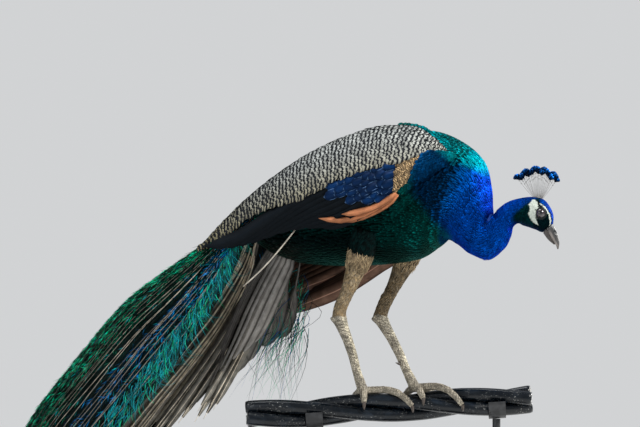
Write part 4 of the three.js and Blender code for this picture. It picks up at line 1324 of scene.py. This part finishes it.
# ---- crest
def build_crest():
    """Bare quills that fan from the crown, each with a small paddle at its tip."""
    rng = np.random.default_rng(5)
    quills, paddles = Coat(), Coat()
    root = np.array([0.3145, 0.0, PERCH_Z + 0.380])
    count, rings = 24, 8
    shares = np.linspace(0, 1, rings)
    for k in range(count):
        place, row = k / (count - 1), (k % 3) - 1
        lean = math.radians(-39 + 74 * k / (count - 1))
        sideways = math.radians(8) * row + rng.normal(0, 0.02)
        apart = place - 0.5
        long = 0.0615 - 0.004 * apart - 0.0050 * (k % 2) - 0.012 * abs(apart)
        start = root + np.array([0.009 * math.sin(lean), 0.0028 * row, 0.0])
        heading = unit(np.array([math.sin(lean), math.sin(sideways), math.cos(lean)]))
        bow = np.array([math.cos(lean), 0, -math.sin(lean)]) * 0.002 * math.sin(lean)
        path = start + heading * (long * shares)[:, None] + bow * np.sin(math.pi * shares)[:, None]
        cell = ((k + 0.5) / count, 0.5)
        tint = np.array([0.11, 0.095, 0.075]) * rng.uniform(0.5, 1.2)
        quills.strips(path, RIGHT, 0.00025 * (1.3 - 0.6 * shares), 0.0005 * (1.3 - 0.6 * shares), cell, tint,
                      rng.random())
        fringe = np.linspace(0.72, 0.95, 3)
        base = np.stack([np.interp(fringe, shares, path[:, i]) for i in range(3)], -1)
        for side in (-1, 1):
            cross = np.array([heading[2], 0, -heading[0]]) * side
            quills.stamp(HAIR, base, heading + cross * 0.55, RIGHT, (0.00025, 0.0035, 0.0002), cell, tint * 0.8,
                         rng.random(3))
        # three vanes across one another make the paddle full from every side
        for turn in (0.0, 1.1, 2.1):
            shade = np.array([0.001, 0.034, 0.135]) * rng.uniform(0.35, 1.9)
            paddles.stamp(PADDLE, path[-1] - heading * 0.005, heading, (math.sin(turn), -math.cos(turn), 0),
                          (0.0078, 0.0125, 0.0007), ((k + 0.3 * turn + 0.2) / count, 0.5), shade, rng.random())
    quills.piece("crest_quills", tinted("crest_quills", 0.8, Specular_IOR_Level=0.05), "crest_plumage")
    paddles.piece("crest_paddles", plain_plumage("crest_plumage", 0.32, 0.8, 0.25, 2.6, 0.3, 60.0), "crest_plumage",
                  ["crest"])


PADDLE = prototype([0.10, 0.55, 0.95, 1.0, 0.7, 0.0], [0.6, 1.0, 1.0, 0.8, 0.5, 0.0], 4)


# ---- eyes and bill
def build_eyes():
    """A dark brown eyeball with a pupil under a clear dome, and a wrinkled lid ring, on each side."""
    for side, word in ((-1, "right"), (1, "left")):
        centre = Vector(EYE * (1, side, 1))
        outwards = Vector((0.20, side, 0.05)).normalized()
        placed = Matrix.Translation(centre) @ outwards.to_track_quat("Z", "Y").to_matrix().to_4x4()
        bm = bmesh.new()
        bmesh.ops.create_uvsphere(bm, u_segments=40, v_segments=24, radius=EYE_RADIUS)
        for vertex in bm.verts:
            if vertex.co.z > EYE_RADIUS * DOME:
                vertex.co.z += 0.0006 * (vertex.co.z / EYE_RADIUS - DOME) / (1 - DOME)
        bmesh.ops.transform(bm, matrix=placed, verts=bm.verts)
        mesh = as_mesh(bm, f"eyeball_{word}", True)
        towards = unit(read(mesh) - np.array(centre)) @ np.array(outwards)
        off = np.degrees(np.arccos(np.clip(towards, -1, 1)))[:, None]
        # pupil, iris, white
        paint_mesh(mesh, np.where(off < 22, (0.003, 0.002, 0.003),
                                  np.where(off < 50, (0.040, 0.025, 0.030), (0.008, 0.007, 0.008))))
        net = Net(f"eye_{word}", Roughness=0.06, Coat_Weight=1.0, Coat_Roughness=0.02, Specular_IOR_Level=0.6)
        mesh.materials.append(net.paint(Base_Color=net.scaled(net.tint(), net.patchy(900.0, 0.6, 1.6))))
        add_piece(f"eyeball_{word}", mesh, [f"eye_{word}"])
        build_lid(word, placed)


def build_lid(word, placed):
    """Two soft folds of skin round the eye, drawn out towards the bill."""
    bm = bmesh.new()
    section = 10
    for reach, height, thick in ((0.88, 0.0040, 0.0009), (1.06, 0.0016, 0.0012)):
        profile = [bm.verts.new((EYE_RADIUS * reach + thick * math.cos(a), 0, height + thick * math.sin(a)))
                   for a in np.linspace(0, FULL_TURN, section, endpoint=False)]
        edges = [bm.edges.new((profile[i], profile[(i + 1) % section])) for i in range(section)]
        bmesh.ops.spin(bm, geom=profile + edges, cent=(0, 0, 0), axis=(0, 0, 1), angle=FULL_TURN, steps=56,
                       use_merge=True)
    for vertex in bm.verts:
        about = math.atan2(vertex.co.y, vertex.co.x)
        vertex.co.z += 0.00016 * math.sin(13 * about)
        vertex.co *= 1.0 + 0.03 * math.cos(2 * about)
    bmesh.ops.recalc_face_normals(bm, faces=bm.faces)
    bmesh.ops.transform(bm, matrix=placed, verts=bm.verts)
    mesh = as_mesh(bm, f"eyelid_{word}", True)
    net = Net(f"eyelid_{word}", Roughness=0.55, Specular_IOR_Level=0.3)
    net.bump(net.noise(900.0), 0.5, 0.0003)
    mesh.materials.append(net.paint(Base_Color=net.mix(net.noise(500.0), (0.006, 0.010, 0.010),
                                                       (0.035, 0.042, 0.042))))
    add_piece(f"eyelid_{word}", mesh)


NOSTRIL = np.array([0.3500, 0.0, PERCH_Z + 0.3165])


BILL_DOWN = np.array([0.45, 0, -0.89])

BILL_UP = np.array([0.89, 0, 0.45])  # from the lower bill to the upper, square to its length


def build_bill():
    """Both halves of the bill, smooth horn with a nostril under a fold darkened with painted shade, a painted highlight
    along the ridge and a pale cutting edge.
    """
    for name in ("bill_upper", "bill_lower"):
        mesh = remeshed([name], name, 0.00055, 5)
        points, normals = read(mesh), read(mesh, "normal")
        from_nostril = points * (1, 0, 1) - NOSTRIL
        long, high = from_nostril @ BILL_DOWN, from_nostril @ BILL_UP
        hollow = lambda wide, tall, sharp: np.exp(-((long / wide) ** 2 + (high / tall) ** 2) * sharp)
        if name == "bill_upper":
            write(mesh, points - normals * (0.0016 * hollow(0.0040, 0.0013, 1.3))[:, None])
            tint = np.tile(np.array([0.075, 0.073, 0.072]), (len(points), 1))
            # painted shade in and round the nostril's hollow
            tint = blend(np.clip(hollow(0.0085, 0.0036, 1.2) * 1.3, 0, 1), tint, (0.012, 0.016, 0.018))
            # painted highlight: a light blue-grey band along the top of the upper bill
            tint = blend(eased(high, 0.0022, 0.0048), tint, (0.30, 0.34, 0.38))
            tint = blend(eased(high, -0.0060, -0.0082) * eased(long, -0.012, 0.0), tint, (0.33, 0.29, 0.26))
        else:
            tint = np.tile(np.array([0.072, 0.062, 0.056]), (len(points), 1))
        paint_mesh(mesh, blend(eased(long, 0.020, 0.032), tint, (0.10, 0.088, 0.08)))
        net = Net(name, Roughness=0.38, Coat_Weight=0.2, Coat_Roughness=0.3)
        growth = net.noise(220.0, 4.0, stretch=(1.0, 1.0, 0.35))
        net.bump(growth, 0.3, 0.0004)
        mesh.materials.append(net.paint(Base_Color=net.scaled(net.tint(), net.step(growth, 0.3, 0.7, 0.75, 1.2))))
        add_piece(f"{name}_horn", mesh, [name])


def horn_skin(name):
    """Reticulated horny skin of the legs: small plates with dark joints, and the tint's painted light that makes the
    front of the shank pale.
    """
    net = Net(name, Roughness=0.55, Specular_IOR_Level=0.35)
    cells = net.node("TexVoronoi", net.objects(), feature="DISTANCE_TO_EDGE")
    cells.inputs["Scale"].default_value = 250.0
    joints = net.step(cells.outputs["Distance"], 0.02, 0.16)
    base = net.scaled(net.tint(), net.step(net.noise(70.0, 4.0), 0.32, 0.68, 0.6, 1.45))
    base = net.mix(net.product(net.math("SUBTRACT", 1.0, joints), 0.75), base, (0.035, 0.026, 0.018))
    net.bump(net.math("ADD", joints, net.product(net.noise(500.0, 3.0), 0.5)), 0.6, 0.0005)
    return net.paint(Base_Color=base)


# ---- coat pieces
def build_coat():
    """Feathers of head, neck and trunk, from short scales on the face to broad ones on the back."""
    sizes = chosen("plumage")
    neck, body = sizes.neck_step, sizes.body_step
    fine = plain_plumage("head_plumage", 0.4, 0.7, 0.35, 1.6, barbs=60.0, edge=(0.1, 0.4, 1.0))
    scaly = plain_plumage("neck_plumage", 0.42, 0.93, 0.55, 1.3, barbs=90.0, edge=(0.05, 0.3, 1.0))
    broad = plain_plumage("body_plumage", 0.42, 0.8, 0.16, 2.1, 0.45, edge=(0.1, 0.8, 0.7))
    head_step = lambda place: np.interp(place, [0, 1.5, NECK_START], [0.0016, 0.0018, 0.0027])
    neck_step = lambda place: np.interp(place, [NECK_START, 7.0, TRUNK_START], [0.65 * neck, 0.85 * neck, 1.3 * neck])
    body_step = lambda place: np.interp(place, [TRUNK_START, 15.2, 17.5], [0.52 * body, 0.68 * body, 1.0 * body])
    body_coat("head_coat", 0.12, NECK_START, head_step, SMALL, 2.5, 0.62, fine, "neck_plumage", 1)
    body_coat("neck_coat", NECK_START, TRUNK_START, neck_step, CONTOUR, 3.0, 0.62, scaly, "neck_plumage", 2)
    body_coat("body_coat", TRUNK_START, 21.0, body_step, CONTOUR, 2.8, 0.6, broad, "body_plumage", 3, wing_shade())


THIGHS = {-1: metres([(-26, -58, 316), (-46, -55, 254), (-70, -48, 198), (-86, -44, 166), (-91, -42, 147)]),
          1: metres([(40, 56, 316), (17, 49, 254), (-5, 46, 206), (-23, 41, 170), (-32, 39, 146)])}
THIGH_RADII = metres([37, 23.5, 15, 14.0, 14.5])


def build_thighs():
    """Soft buff feathers down each thigh, with ragged tufts where the flank's feathers end."""
    buff = np.array(chosen("legs").thigh)
    material = plain_plumage("thigh_plumage", 0.75, 0.0, 0.6, 1.2, barbs=80.0)
    dark = tinted("thigh_top", 0.7, Specular_IOR_Level=0.05)
    for side, word in ((-1, "right"), (1, "left")):
        rng = np.random.default_rng(31 + side)
        rows = THIGHS[side] + np.array([0, 0, PERCH_Z])

        def surface(a, b):
            along = unit(smooth(rows, a + 0.05) - smooth(rows, a - 0.05))
            first = unit(np.cross(along, -RIGHT))
            second = np.cross(along, first)
            radius = (smooth(THIGH_RADII, a) - 0.0015)[..., None]
            return smooth(rows, a) + (first * np.cos(b)[..., None] + second * np.sin(b)[..., None]) * radius

        def roots(count, low, high):
            place, angle = np.sort(rng.uniform(low, high, count)), rng.uniform(0, FULL_TURN, count)
            points, along, normals = frame_at(surface, place, angle)
            normals = facing(normals, points - smooth(rows, place))
            return place, np.c_[place / 4, angle / FULL_TURN], points, along, normals, np.cross(along, normals)

        def leaning(lift, shake):
            return along + normals * lift + across * rng.normal(0, shake, len(along))[:, None]

        coat, flank = Coat(), Coat()
        count = 2300
        place, cell, points, along, normals, across = roots(count, 0.45, 4.0)
        long = np.interp(place, [0, 1, 4], [0.020, 0.016, 0.009]) * rng.uniform(0.8, 1.2, count)
        half = np.interp(place, [0, 1, 4], [0.0036, 0.0030, 0.0019])
        lean = leaning(0.08, 0.2)
        # painted shade: the far thigh's feathers are painted darker
        tint = buff * rng.uniform(0.7, 1.3, (count, 1)) * (0.62 if side > 0 else 1.0)
        tint *= np.array([1.0, 0.97, 0.92]) ** rng.normal(0, 1.5, (count, 1))
        coat.stamp(CONTOUR, points, lean, normals, np.c_[half, long, half * 0.2], cell, tint, rng.random(count), 0.12)
        # ragged tufts at the top
        count = 420
        _, cell, points, along, normals, across = roots(count, 0.55, 1.0)
        lean = leaning(rng.uniform(0.1, 0.3, count)[:, None], 0.35)
        tint = buff * rng.uniform(0.7, 1.7, (count, 1))
        coat.stamp(HAIR, points, lean, normals, (0.0010, 0.020, 0.0007), cell, tint, rng.random(count), 0.1,
                   rng.normal(0, 0.2, count))
        coat.piece(f"thigh_coat_{word}", material, "thigh_plumage")
        # the flank's own feathers run down over the top of the thigh
        laid = roots(900, -0.15, 0.66)
        keep = rng.random(900) < eased(laid[0], 0.70, 0.35)
        place, cell, points, along, normals, across = (row[keep] for row in laid)
        count = len(place)
        points = points + normals * (0.002 * eased(place, 0.75, 0.2))[:, None]
        lean = leaning(0.03, 0.15)
        tint = np.array([0.0006, 0.0075, 0.0072]) * rng.uniform(0.3, 1.8, (count, 1))
        flank.stamp(CONTOUR, points, lean, normals, (0.0040, 0.021, 0.0004), cell, tint, rng.random(count), 0.10)
        flank.piece(f"thigh_top_{word}", dark, "body_plumage")


# ---- legs
def build_legs():
    """Scaled shanks and toes as one smooth skin each, and dark horny claws and spurs."""
    hues = chosen("legs")
    for word in ("right", "left"):
        nodes = [f"shank_{word}", f"foot_{word}"]
        mesh = remeshed(nodes, f"leg_{word}", 0.0013, 5)
        points, normals = read(mesh), read(mesh, "normal")
        shank = points[:, 2] > PERCH_Z + 0.022
        # scutes down the front of the shank, then across the top of each toe
        ahead = 0.35 * np.cos(np.clip(normals[:, 1], -1, 1) * 3)
        plates = np.abs(((points[:, 2] / hues.scute + ahead) % 1) - 0.5) * 2
        groove = np.where(shank & (normals[:, 0] > 0.1), eased(plates, 0.74, 1.0), 0)
        toe_run = points[:, 0] * 0.94 + points[:, 1] * 0.34
        rows = np.abs((toe_run / 0.0046) % 1 - 0.5) * 2
        groove = np.where((~shank) & (normals[:, 2] > 0.15), eased(rows, 0.68, 1.0), groove)
        hock = np.exp(-(((points[:, 2] - PERCH_Z - 0.143) / 0.012) ** 2))
        write(mesh, points + normals * (0.0024 * hock - 0.0011 * groove)[:, None])
        tint = np.array(hues.horn)[None] * (1 - 0.8 * groove)[:, None]
        # painted light: the front of the shank, which faces the light, is painted pale
        pale = eased(normals[:, 0], 0.3, 0.8) * shank * (1 - groove)
        paint_mesh(mesh, blend(pale * 0.75, tint, np.array([0.70, 0.63, 0.46])))
        mesh.materials.append(horn_skin(f"leg_{word}"))
        add_piece(f"leg_{word}", mesh, nodes)

    net = Net("claw_horn", Roughness=0.35)
    growth = net.noise(160.0, 3.0, stretch=(1, 1, 4))
    net.bump(growth, 0.3, 0.0003)
    horn = net.paint(Base_Color=net.mix(growth, (0.018, 0.014, 0.012), (0.13, 0.10, 0.08)))
    for side in ("right", "left"):
        for part in ("claw_inner", "claw_middle", "claw_outer", "claw_hind", "spur"):
            node = f"{part}_{side}"
            mesh = remeshed([node], node, 0.0006, 3)
            mesh.materials.append(horn)
            add_piece(f"{node}_horn", mesh, [node])


def cable_sheath():
    """Black sheath with a blue-grey bloom, streaks and specks of dust."""
    net = Net("cable_sheath", Roughness=0.35, Specular_IOR_Level=0.4)
    dust = net.noise(38.0, 8.0)
    specks = net.product(net.step(net.noise(420.0, 2.0), 0.64, 0.70), net.step(dust, 0.45, 0.62))
    streaks = net.step(net.noise(60.0, 5.0, stretch=(0.25, 1.0, 1.0)), 0.5, 0.75, 0.0, 0.6)
    base = net.mix(streaks, tuple(chosen("stand").rubber), (0.020, 0.030, 0.044))
    net.bump(net.math("ADD", dust, net.product(net.noise(900.0), 0.3)), 0.14, 0.0006)
    return net.paint(Base_Color=net.mix(specks, base, (0.42, 0.42, 0.40)),
                     Roughness=net.step(dust, 0.3, 0.7, 0.14, 0.36))


# ---- perch
YAW, RISE = math.radians(20), math.radians(3.4)
AXIS_DROP = 0.037
STRAND_RADIUS, LAY_RADIUS, PITCH = 0.0135, 0.0135 * 2 / math.sqrt(3) + 0.001 * 1.05, 0.6
PERCH_HALF = 0.285

WIRE = [0.0017, 0.0017, 0.0014]  # half widths of a cut wire from inside to its tip


def perch_point(along, angle, radius):
    """A point round the cable bundle: angle 0 is on top, a quarter turn on its right side."""
    level = math.cos(RISE)
    forwards = np.array([math.cos(YAW) * level, math.sin(YAW) * level, math.sin(RISE)])
    sideways = np.array([math.sin(YAW), -math.cos(YAW), 0.0])
    upwards = np.cross(sideways, forwards)
    axis = np.array([0, 0, PERCH_Z - AXIS_DROP])
    return (axis + along[..., None] * forwards + upwards * (radius * np.cos(angle))[..., None]
            + sideways * (radius * np.sin(angle))[..., None])


def build_perch():
    """Three sheathed cables twisted together, with dusty black sheaths and stranded metal in their cut ends."""
    sheath = cable_sheath()
    net = Net("cable_core", Metallic=0.9, Roughness=0.42)
    core = net.paint(Base_Color=net.mix(net.noise(400.0), (0.32, 0.32, 0.31), (0.62, 0.61, 0.58)))
    rings, sides = 121, 28
    run = np.linspace(-PERCH_HALF, PERCH_HALF, rings)
    for index in range(3):
        path = perch_point(run, math.radians(35) + FULL_TURN / 3 * index + FULL_TURN * run / PITCH, LAY_RADIUS)
        forwards = unit(np.gradient(path, axis=0))
        across = unit(np.cross(forwards, np.array([0, 0, 1.0])))
        above = np.cross(across, forwards)
        bm = ringed_cylinder(rings, sides)
        caps = [face for face in bm.faces if len(face.verts) == sides]
        for rim in (0.17, 0.02):
            bmesh.ops.inset_region(bm, faces=caps, thickness=rim, depth=0.0)
        for cap in caps:
            cap.material_index = 1
        for vertex in bm.verts:
            x, y = vertex.co.x, vertex.co.y
            ring = int(round((vertex.co.z + 0.5) * (rings - 1)))
            from_axis = across[ring] * x + above[ring] * y
            point = path[ring] + from_axis * (STRAND_RADIUS * (1 + 0.006 * math.sin(run[ring] * 90 + index)))
            if math.hypot(x, y) > 0.99 and ring in (0, rings - 1):
                point = point - from_axis * 0.0012
            vertex.co = point
        for face in bm.faces:
            face.smooth = face.material_index == 0 and len(face.verts) == 4
        # laid along the path the cylinder is mirrored, so its faces are turned outwards again
        bmesh.ops.reverse_faces(bm, faces=bm.faces)
        mesh = as_mesh(bm, f"cable_{index + 1}")
        mesh.materials.append(sheath)
        mesh.materials.append(core)
        add_piece(f"cable_{index + 1}", mesh, [f"perch_cable_{index + 1}"])
        wires = Coat()
        for end, ring in ((-1, 0), (1, rings - 1)):
            for spread, number in ((0.0, 1), (0.0036, 6), (0.0072, 12)):
                for k in range(number):
                    turn = FULL_TURN * k / number + 0.4
                    centre = path[ring] + (across[ring] * math.cos(turn) + above[ring] * math.sin(turn)) * spread
                    line = centre + forwards[ring] * end * np.linspace(-0.004, 0.0006, 3)[:, None]
                    wires.strips(line, above[ring], WIRE, WIRE, (0.5, 0.5), (1, 1, 1), 0.5)
        wires.piece(f"cable_wires_{index + 1}", core, "cable")


# ---- display stand
def build_stand():
    """A bevelled board on which two painted rods hold the cable in cradles."""
    hues = chosen("stand")
    low, high = (np.array(corner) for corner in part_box("stand_base"))
    size = high - low
    bm = bmesh.new()
    bmesh.ops.create_cube(bm, size=1)
    bmesh.ops.scale(bm, vec=size, verts=bm.verts)
    bmesh.ops.bevel(bm, geom=upright_edges(bm, size[2] / 2), offset=0.040, segments=12, **BEVEL)
    rims = [edge for edge in level_edges(bm) if len(edge.link_faces) == 2 and abs(edge.calc_face_angle(0)) > 1]
    bmesh.ops.bevel(bm, geom=rims, offset=0.003, segments=4, **BEVEL)
    bmesh.ops.translate(bm, vec=(high + low) / 2, verts=bm.verts)
    mesh = as_mesh(bm, "board", False)
    net = Net("stained_board", Roughness=0.42, Coat_Weight=0.15, Coat_Roughness=0.3)
    grain = net.noise(14.0, 8.0, stretch=(1.0, 14.0, 14.0))
    fine = net.noise(60.0, 4.0, stretch=(1.0, 18.0, 18.0))
    base = net.mix(net.step(grain, 0.35, 0.65), times(hues.board, 0.45), tuple(hues.board))
    base = net.mix(net.step(fine, 0.45, 0.7, 0.0, 0.5), base, times(hues.board, 1.6))
    net.bump(fine, 0.2, 0.0004)
    mesh.materials.append(net.paint(Base_Color=base))
    add_piece("board", mesh, ["stand_base"])

    net = Net("painted_metal", Metallic=0.3, Roughness=0.42)
    net.bump(net.noise(700.0, 3.0), 0.15, 0.0002)
    painted = net.paint(Base_Color=net.mix(net.step(net.noise(90.0, 4.0), 0.4, 0.7), tuple(hues.metal),
                                           times(hues.metal, 1.7)))
    for name in ("rear", "front"):
        turned_piece(f"rod_{name}", painted, 0.008, 32, 0.0006, f"stand_rod_{name}")
        turned_piece(f"flange_{name}", painted, 0.024, 48, 0.0015, f"stand_flange_{name}")
        cradle = frame["nodes"][f"stand_cradle_{name}"].data
        cradle.materials.clear()
        cradle.materials.append(painted)

BEVEL = {"profile": 0.5, "affect": "EDGES", "material": -1}


def level_edges(bm):
    return [edge for edge in bm.edges if abs(edge.verts[0].co.z - edge.verts[1].co.z) < 1e-6]


def turned_piece(name, material, radius, sides, edge, node):
    """An upright round bar with softened edges, in the place of a CAD node."""
    low, high = (np.array(corner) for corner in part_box(node))
    bm = bmesh.new()
    bmesh.ops.create_cone(bm, cap_ends=True, segments=sides, radius1=radius, radius2=radius, depth=high[2] - low[2])
    bmesh.ops.bevel(bm, geom=level_edges(bm), offset=edge, segments=3, **BEVEL)
    bmesh.ops.translate(bm, vec=(low + high) / 2, verts=bm.verts)
    for face in bm.faces:
        face.smooth = len(face.verts) == 4
    mesh = as_mesh(bm, name)
    mesh.materials.append(material)
    add_piece(name, mesh, [node])

# ---- stage
TARGET = (-0.1297, -0.0472, 0.991)

# name, place from the target, size, power, colour
LIGHTS = [("key", (2.6, -0.5, 1.8), 1.0, 92.0, (1.0, 0.98, 0.94)),
          ("fill", (-1.2, -2.8, 0.7), 2.2, 18.0, (0.92, 0.96, 1.0)),
          ("top", (-0.5, 0.2, 2.6), 1.4, 34.0, (0.95, 0.98, 1.0)),
          ("rim", (1.9, 2.1, 0.7), 0.9, 60.0, (1.0, 0.99, 0.96))]


def linked(name, data):
    """A new object in the scene."""
    made = bpy.data.objects.new(name, data)
    bpy.context.scene.collection.objects.link(made)
    return made


def aim(held, target, offset):
    """Puts a light or camera at an offset from the target, looking back at it."""
    held.location = target + offset
    held.rotation_euler = (-offset).to_track_quat("-Z", "Y").to_euler()
    return held


def light_world(scene, values):
    """Soft light from all round, and a backdrop of its own brightness for the camera."""
    scene.world = world = bpy.data.worlds.new("studio")
    world.use_nodes = True
    tree = world.node_tree
    soft, seen = tree.nodes["Background"], tree.nodes.new("ShaderNodeBackground")
    soft.inputs[0].default_value = (0.86, 0.90, 0.96, 1)
    soft.inputs[1].default_value = values.ambient
    seen.inputs[0].default_value = (*values.backdrop, 1)
    switch = tree.nodes.new("ShaderNodeMixShader")
    tree.links.new(tree.nodes.new("ShaderNodeLightPath").outputs["Is Camera Ray"], switch.inputs[0])
    tree.links.new(soft.outputs[0], switch.inputs[1])
    tree.links.new(seen.outputs[0], switch.inputs[2])
    tree.links.new(switch.outputs[0], tree.nodes["World Output"].inputs["Surface"])


def build_stage():
    """A pale floor, soft studio light and the camera."""
    scene = bpy.context.scene
    values = chosen("stage")
    scene.view_settings.view_transform = "Standard"
    bm = bmesh.new()
    bmesh.ops.create_circle(bm, cap_ends=True, segments=96, radius=90)
    mesh = as_mesh(bm, "floor")
    # far from the stand the floor fades into the backdrop's own brightness
    net = Net("floor", Roughness=0.9, Specular_IOR_Level=0.0)
    place = net.split(net.objects())
    far = net.step(net.reach(place[0], place[1]), 3.0, 11.0)
    net.paint(Base_Color=net.mix(far, tuple(values.floor), (0, 0, 0)),
              Emission_Color=net.mix(far, (0, 0, 0), tuple(values.backdrop)), Emission_Strength=1.0)
    mesh.materials.append(net.material)
    linked("floor", mesh)
    light_world(scene, values)

    target = Vector(TARGET)
    for name, offset, size, power, shade in LIGHTS:
        lamp = bpy.data.lights.new(name, "AREA")
        lamp.energy, lamp.size, lamp.color = power, size, shade
        aim(linked(name, lamp), target, Vector(offset))

    lens = bpy.data.cameras.new("camera")
    lens.sensor_width = 36.0
    lens.lens = lens.sensor_width * values.distance / values.field
    lens.clip_end = 200
    level = math.cos(values.elevation)
    away = Vector((math.sin(values.azimuth) * level, -math.cos(values.azimuth) * level, math.sin(values.elevation)))
    scene.camera = aim(linked("camera", lens), target, away * values.distance)


# ---- the add-on
class PEAFOWL_OT_stage(bpy.types.Operator):
    """Floor, lights and camera"""
    bl_idname = "peafowl.stage"
    bl_label = "Stage"

    def execute(self, context):
        build_stage()
        return {"FINISHED"}


class PEAFOWL_OT_skin(bpy.types.Operator):
    """One skin from head to thighs"""
    bl_idname = "peafowl.skin"
    bl_label = "Skin"

    def execute(self, context):
        build_skin()
        return {"FINISHED"}


class PEAFOWL_OT_coat(bpy.types.Operator):
    """Feathers of head, neck and trunk"""
    bl_idname = "peafowl.coat"
    bl_label = "Body feathers"

    def execute(self, context):
        build_coat()
        return {"FINISHED"}


class PEAFOWL_OT_thighs(bpy.types.Operator):
    """Feathers of the thighs"""
    bl_idname = "peafowl.thighs"
    bl_label = "Thigh feathers"

    def execute(self, context):
        build_thighs()
        return {"FINISHED"}


class PEAFOWL_OT_eyes(bpy.types.Operator):
    """Eyes and their lids"""
    bl_idname = "peafowl.eyes"
    bl_label = "Eyes"

    def execute(self, context):
        build_eyes()
        return {"FINISHED"}


class PEAFOWL_OT_bill(bpy.types.Operator):
    """Upper and lower bill"""
    bl_idname = "peafowl.bill"
    bl_label = "Bill"

    def execute(self, context):
        build_bill()
        return {"FINISHED"}


class PEAFOWL_OT_crest(bpy.types.Operator):
    """Crest of bare quills and paddles"""
    bl_idname = "peafowl.crest"
    bl_label = "Crest"

    def execute(self, context):
        build_crest()
        return {"FINISHED"}


class PEAFOWL_OT_wings(bpy.types.Operator):
    """Both wings"""
    bl_idname = "peafowl.wings"
    bl_label = "Wings"

    def execute(self, context):
        materials = wing_materials()
        for side in (-1, 1):
            build_wing(side, materials)
        return {"FINISHED"}


class PEAFOWL_OT_train(bpy.types.Operator):
    """Long train of plumes"""
    bl_idname = "peafowl.train"
    bl_label = "Train"

    def execute(self, context):
        build_train()
        return {"FINISHED"}


class PEAFOWL_OT_tail(bpy.types.Operator):
    """Stiff tail feathers under the train"""
    bl_idname = "peafowl.tail"
    bl_label = "Tail"

    def execute(self, context):
        build_tail()
        return {"FINISHED"}


class PEAFOWL_OT_legs(bpy.types.Operator):
    """Shanks, feet, claws and spurs"""
    bl_idname = "peafowl.legs"
    bl_label = "Legs"

    def execute(self, context):
        build_legs()
        return {"FINISHED"}


class PEAFOWL_OT_perch(bpy.types.Operator):
    """Twisted cable perch"""
    bl_idname = "peafowl.perch"
    bl_label = "Perch"

    def execute(self, context):
        build_perch()
        return {"FINISHED"}


class PEAFOWL_OT_stand(bpy.types.Operator):
    """Display stand"""
    bl_idname = "peafowl.stand"
    bl_label = "Stand"

    def execute(self, context):
        build_stand()
        return {"FINISHED"}


SETTINGS = {"peafowl_plumage": PlumageSettings, "peafowl_wings": WingSettings, "peafowl_train": TrainSettings,
            "peafowl_legs": LegSettings, "peafowl_stand": StandSettings, "peafowl_stage": StageSettings}
OPERATORS = (PEAFOWL_OT_stage, PEAFOWL_OT_skin, PEAFOWL_OT_coat, PEAFOWL_OT_thighs, PEAFOWL_OT_eyes, PEAFOWL_OT_bill,
             PEAFOWL_OT_crest, PEAFOWL_OT_wings, PEAFOWL_OT_train, PEAFOWL_OT_tail, PEAFOWL_OT_legs, PEAFOWL_OT_perch,
             PEAFOWL_OT_stand)


class PEAFOWL_PT_panel(bpy.types.Panel):
    """Sizes, colours and steps of the peafowl"""
    bl_idname = "PEAFOWL_PT_panel"
    bl_label = "Peafowl"
    bl_space_type = "VIEW_3D"
    bl_region_type = "UI"
    bl_category = "Peafowl"

    def draw(self, context):
        for name, kind in SETTINGS.items():
            box = self.layout.box()
            for field in kind.__annotations__:
                box.prop(getattr(context.scene, name), field)
        for operator in OPERATORS:
            self.layout.operator(operator.bl_idname)


def register():
    for kind in (*SETTINGS.values(), *OPERATORS, PEAFOWL_PT_panel):
        bpy.utils.register_class(kind)
    for name, kind in SETTINGS.items():
        setattr(bpy.types.Scene, name, PointerProperty(type=kind))


def unregister():
    for name in SETTINGS:
        delattr(bpy.types.Scene, name)
    for kind in reversed((*SETTINGS.values(), *OPERATORS, PEAFOWL_PT_panel)):
        bpy.utils.unregister_class(kind)


def main():
    register()
    for operator in OPERATORS:
        group, name = operator.bl_idname.split(".")
        getattr(getattr(bpy.ops, group), name)()


if __name__ == "__main__":
    main()
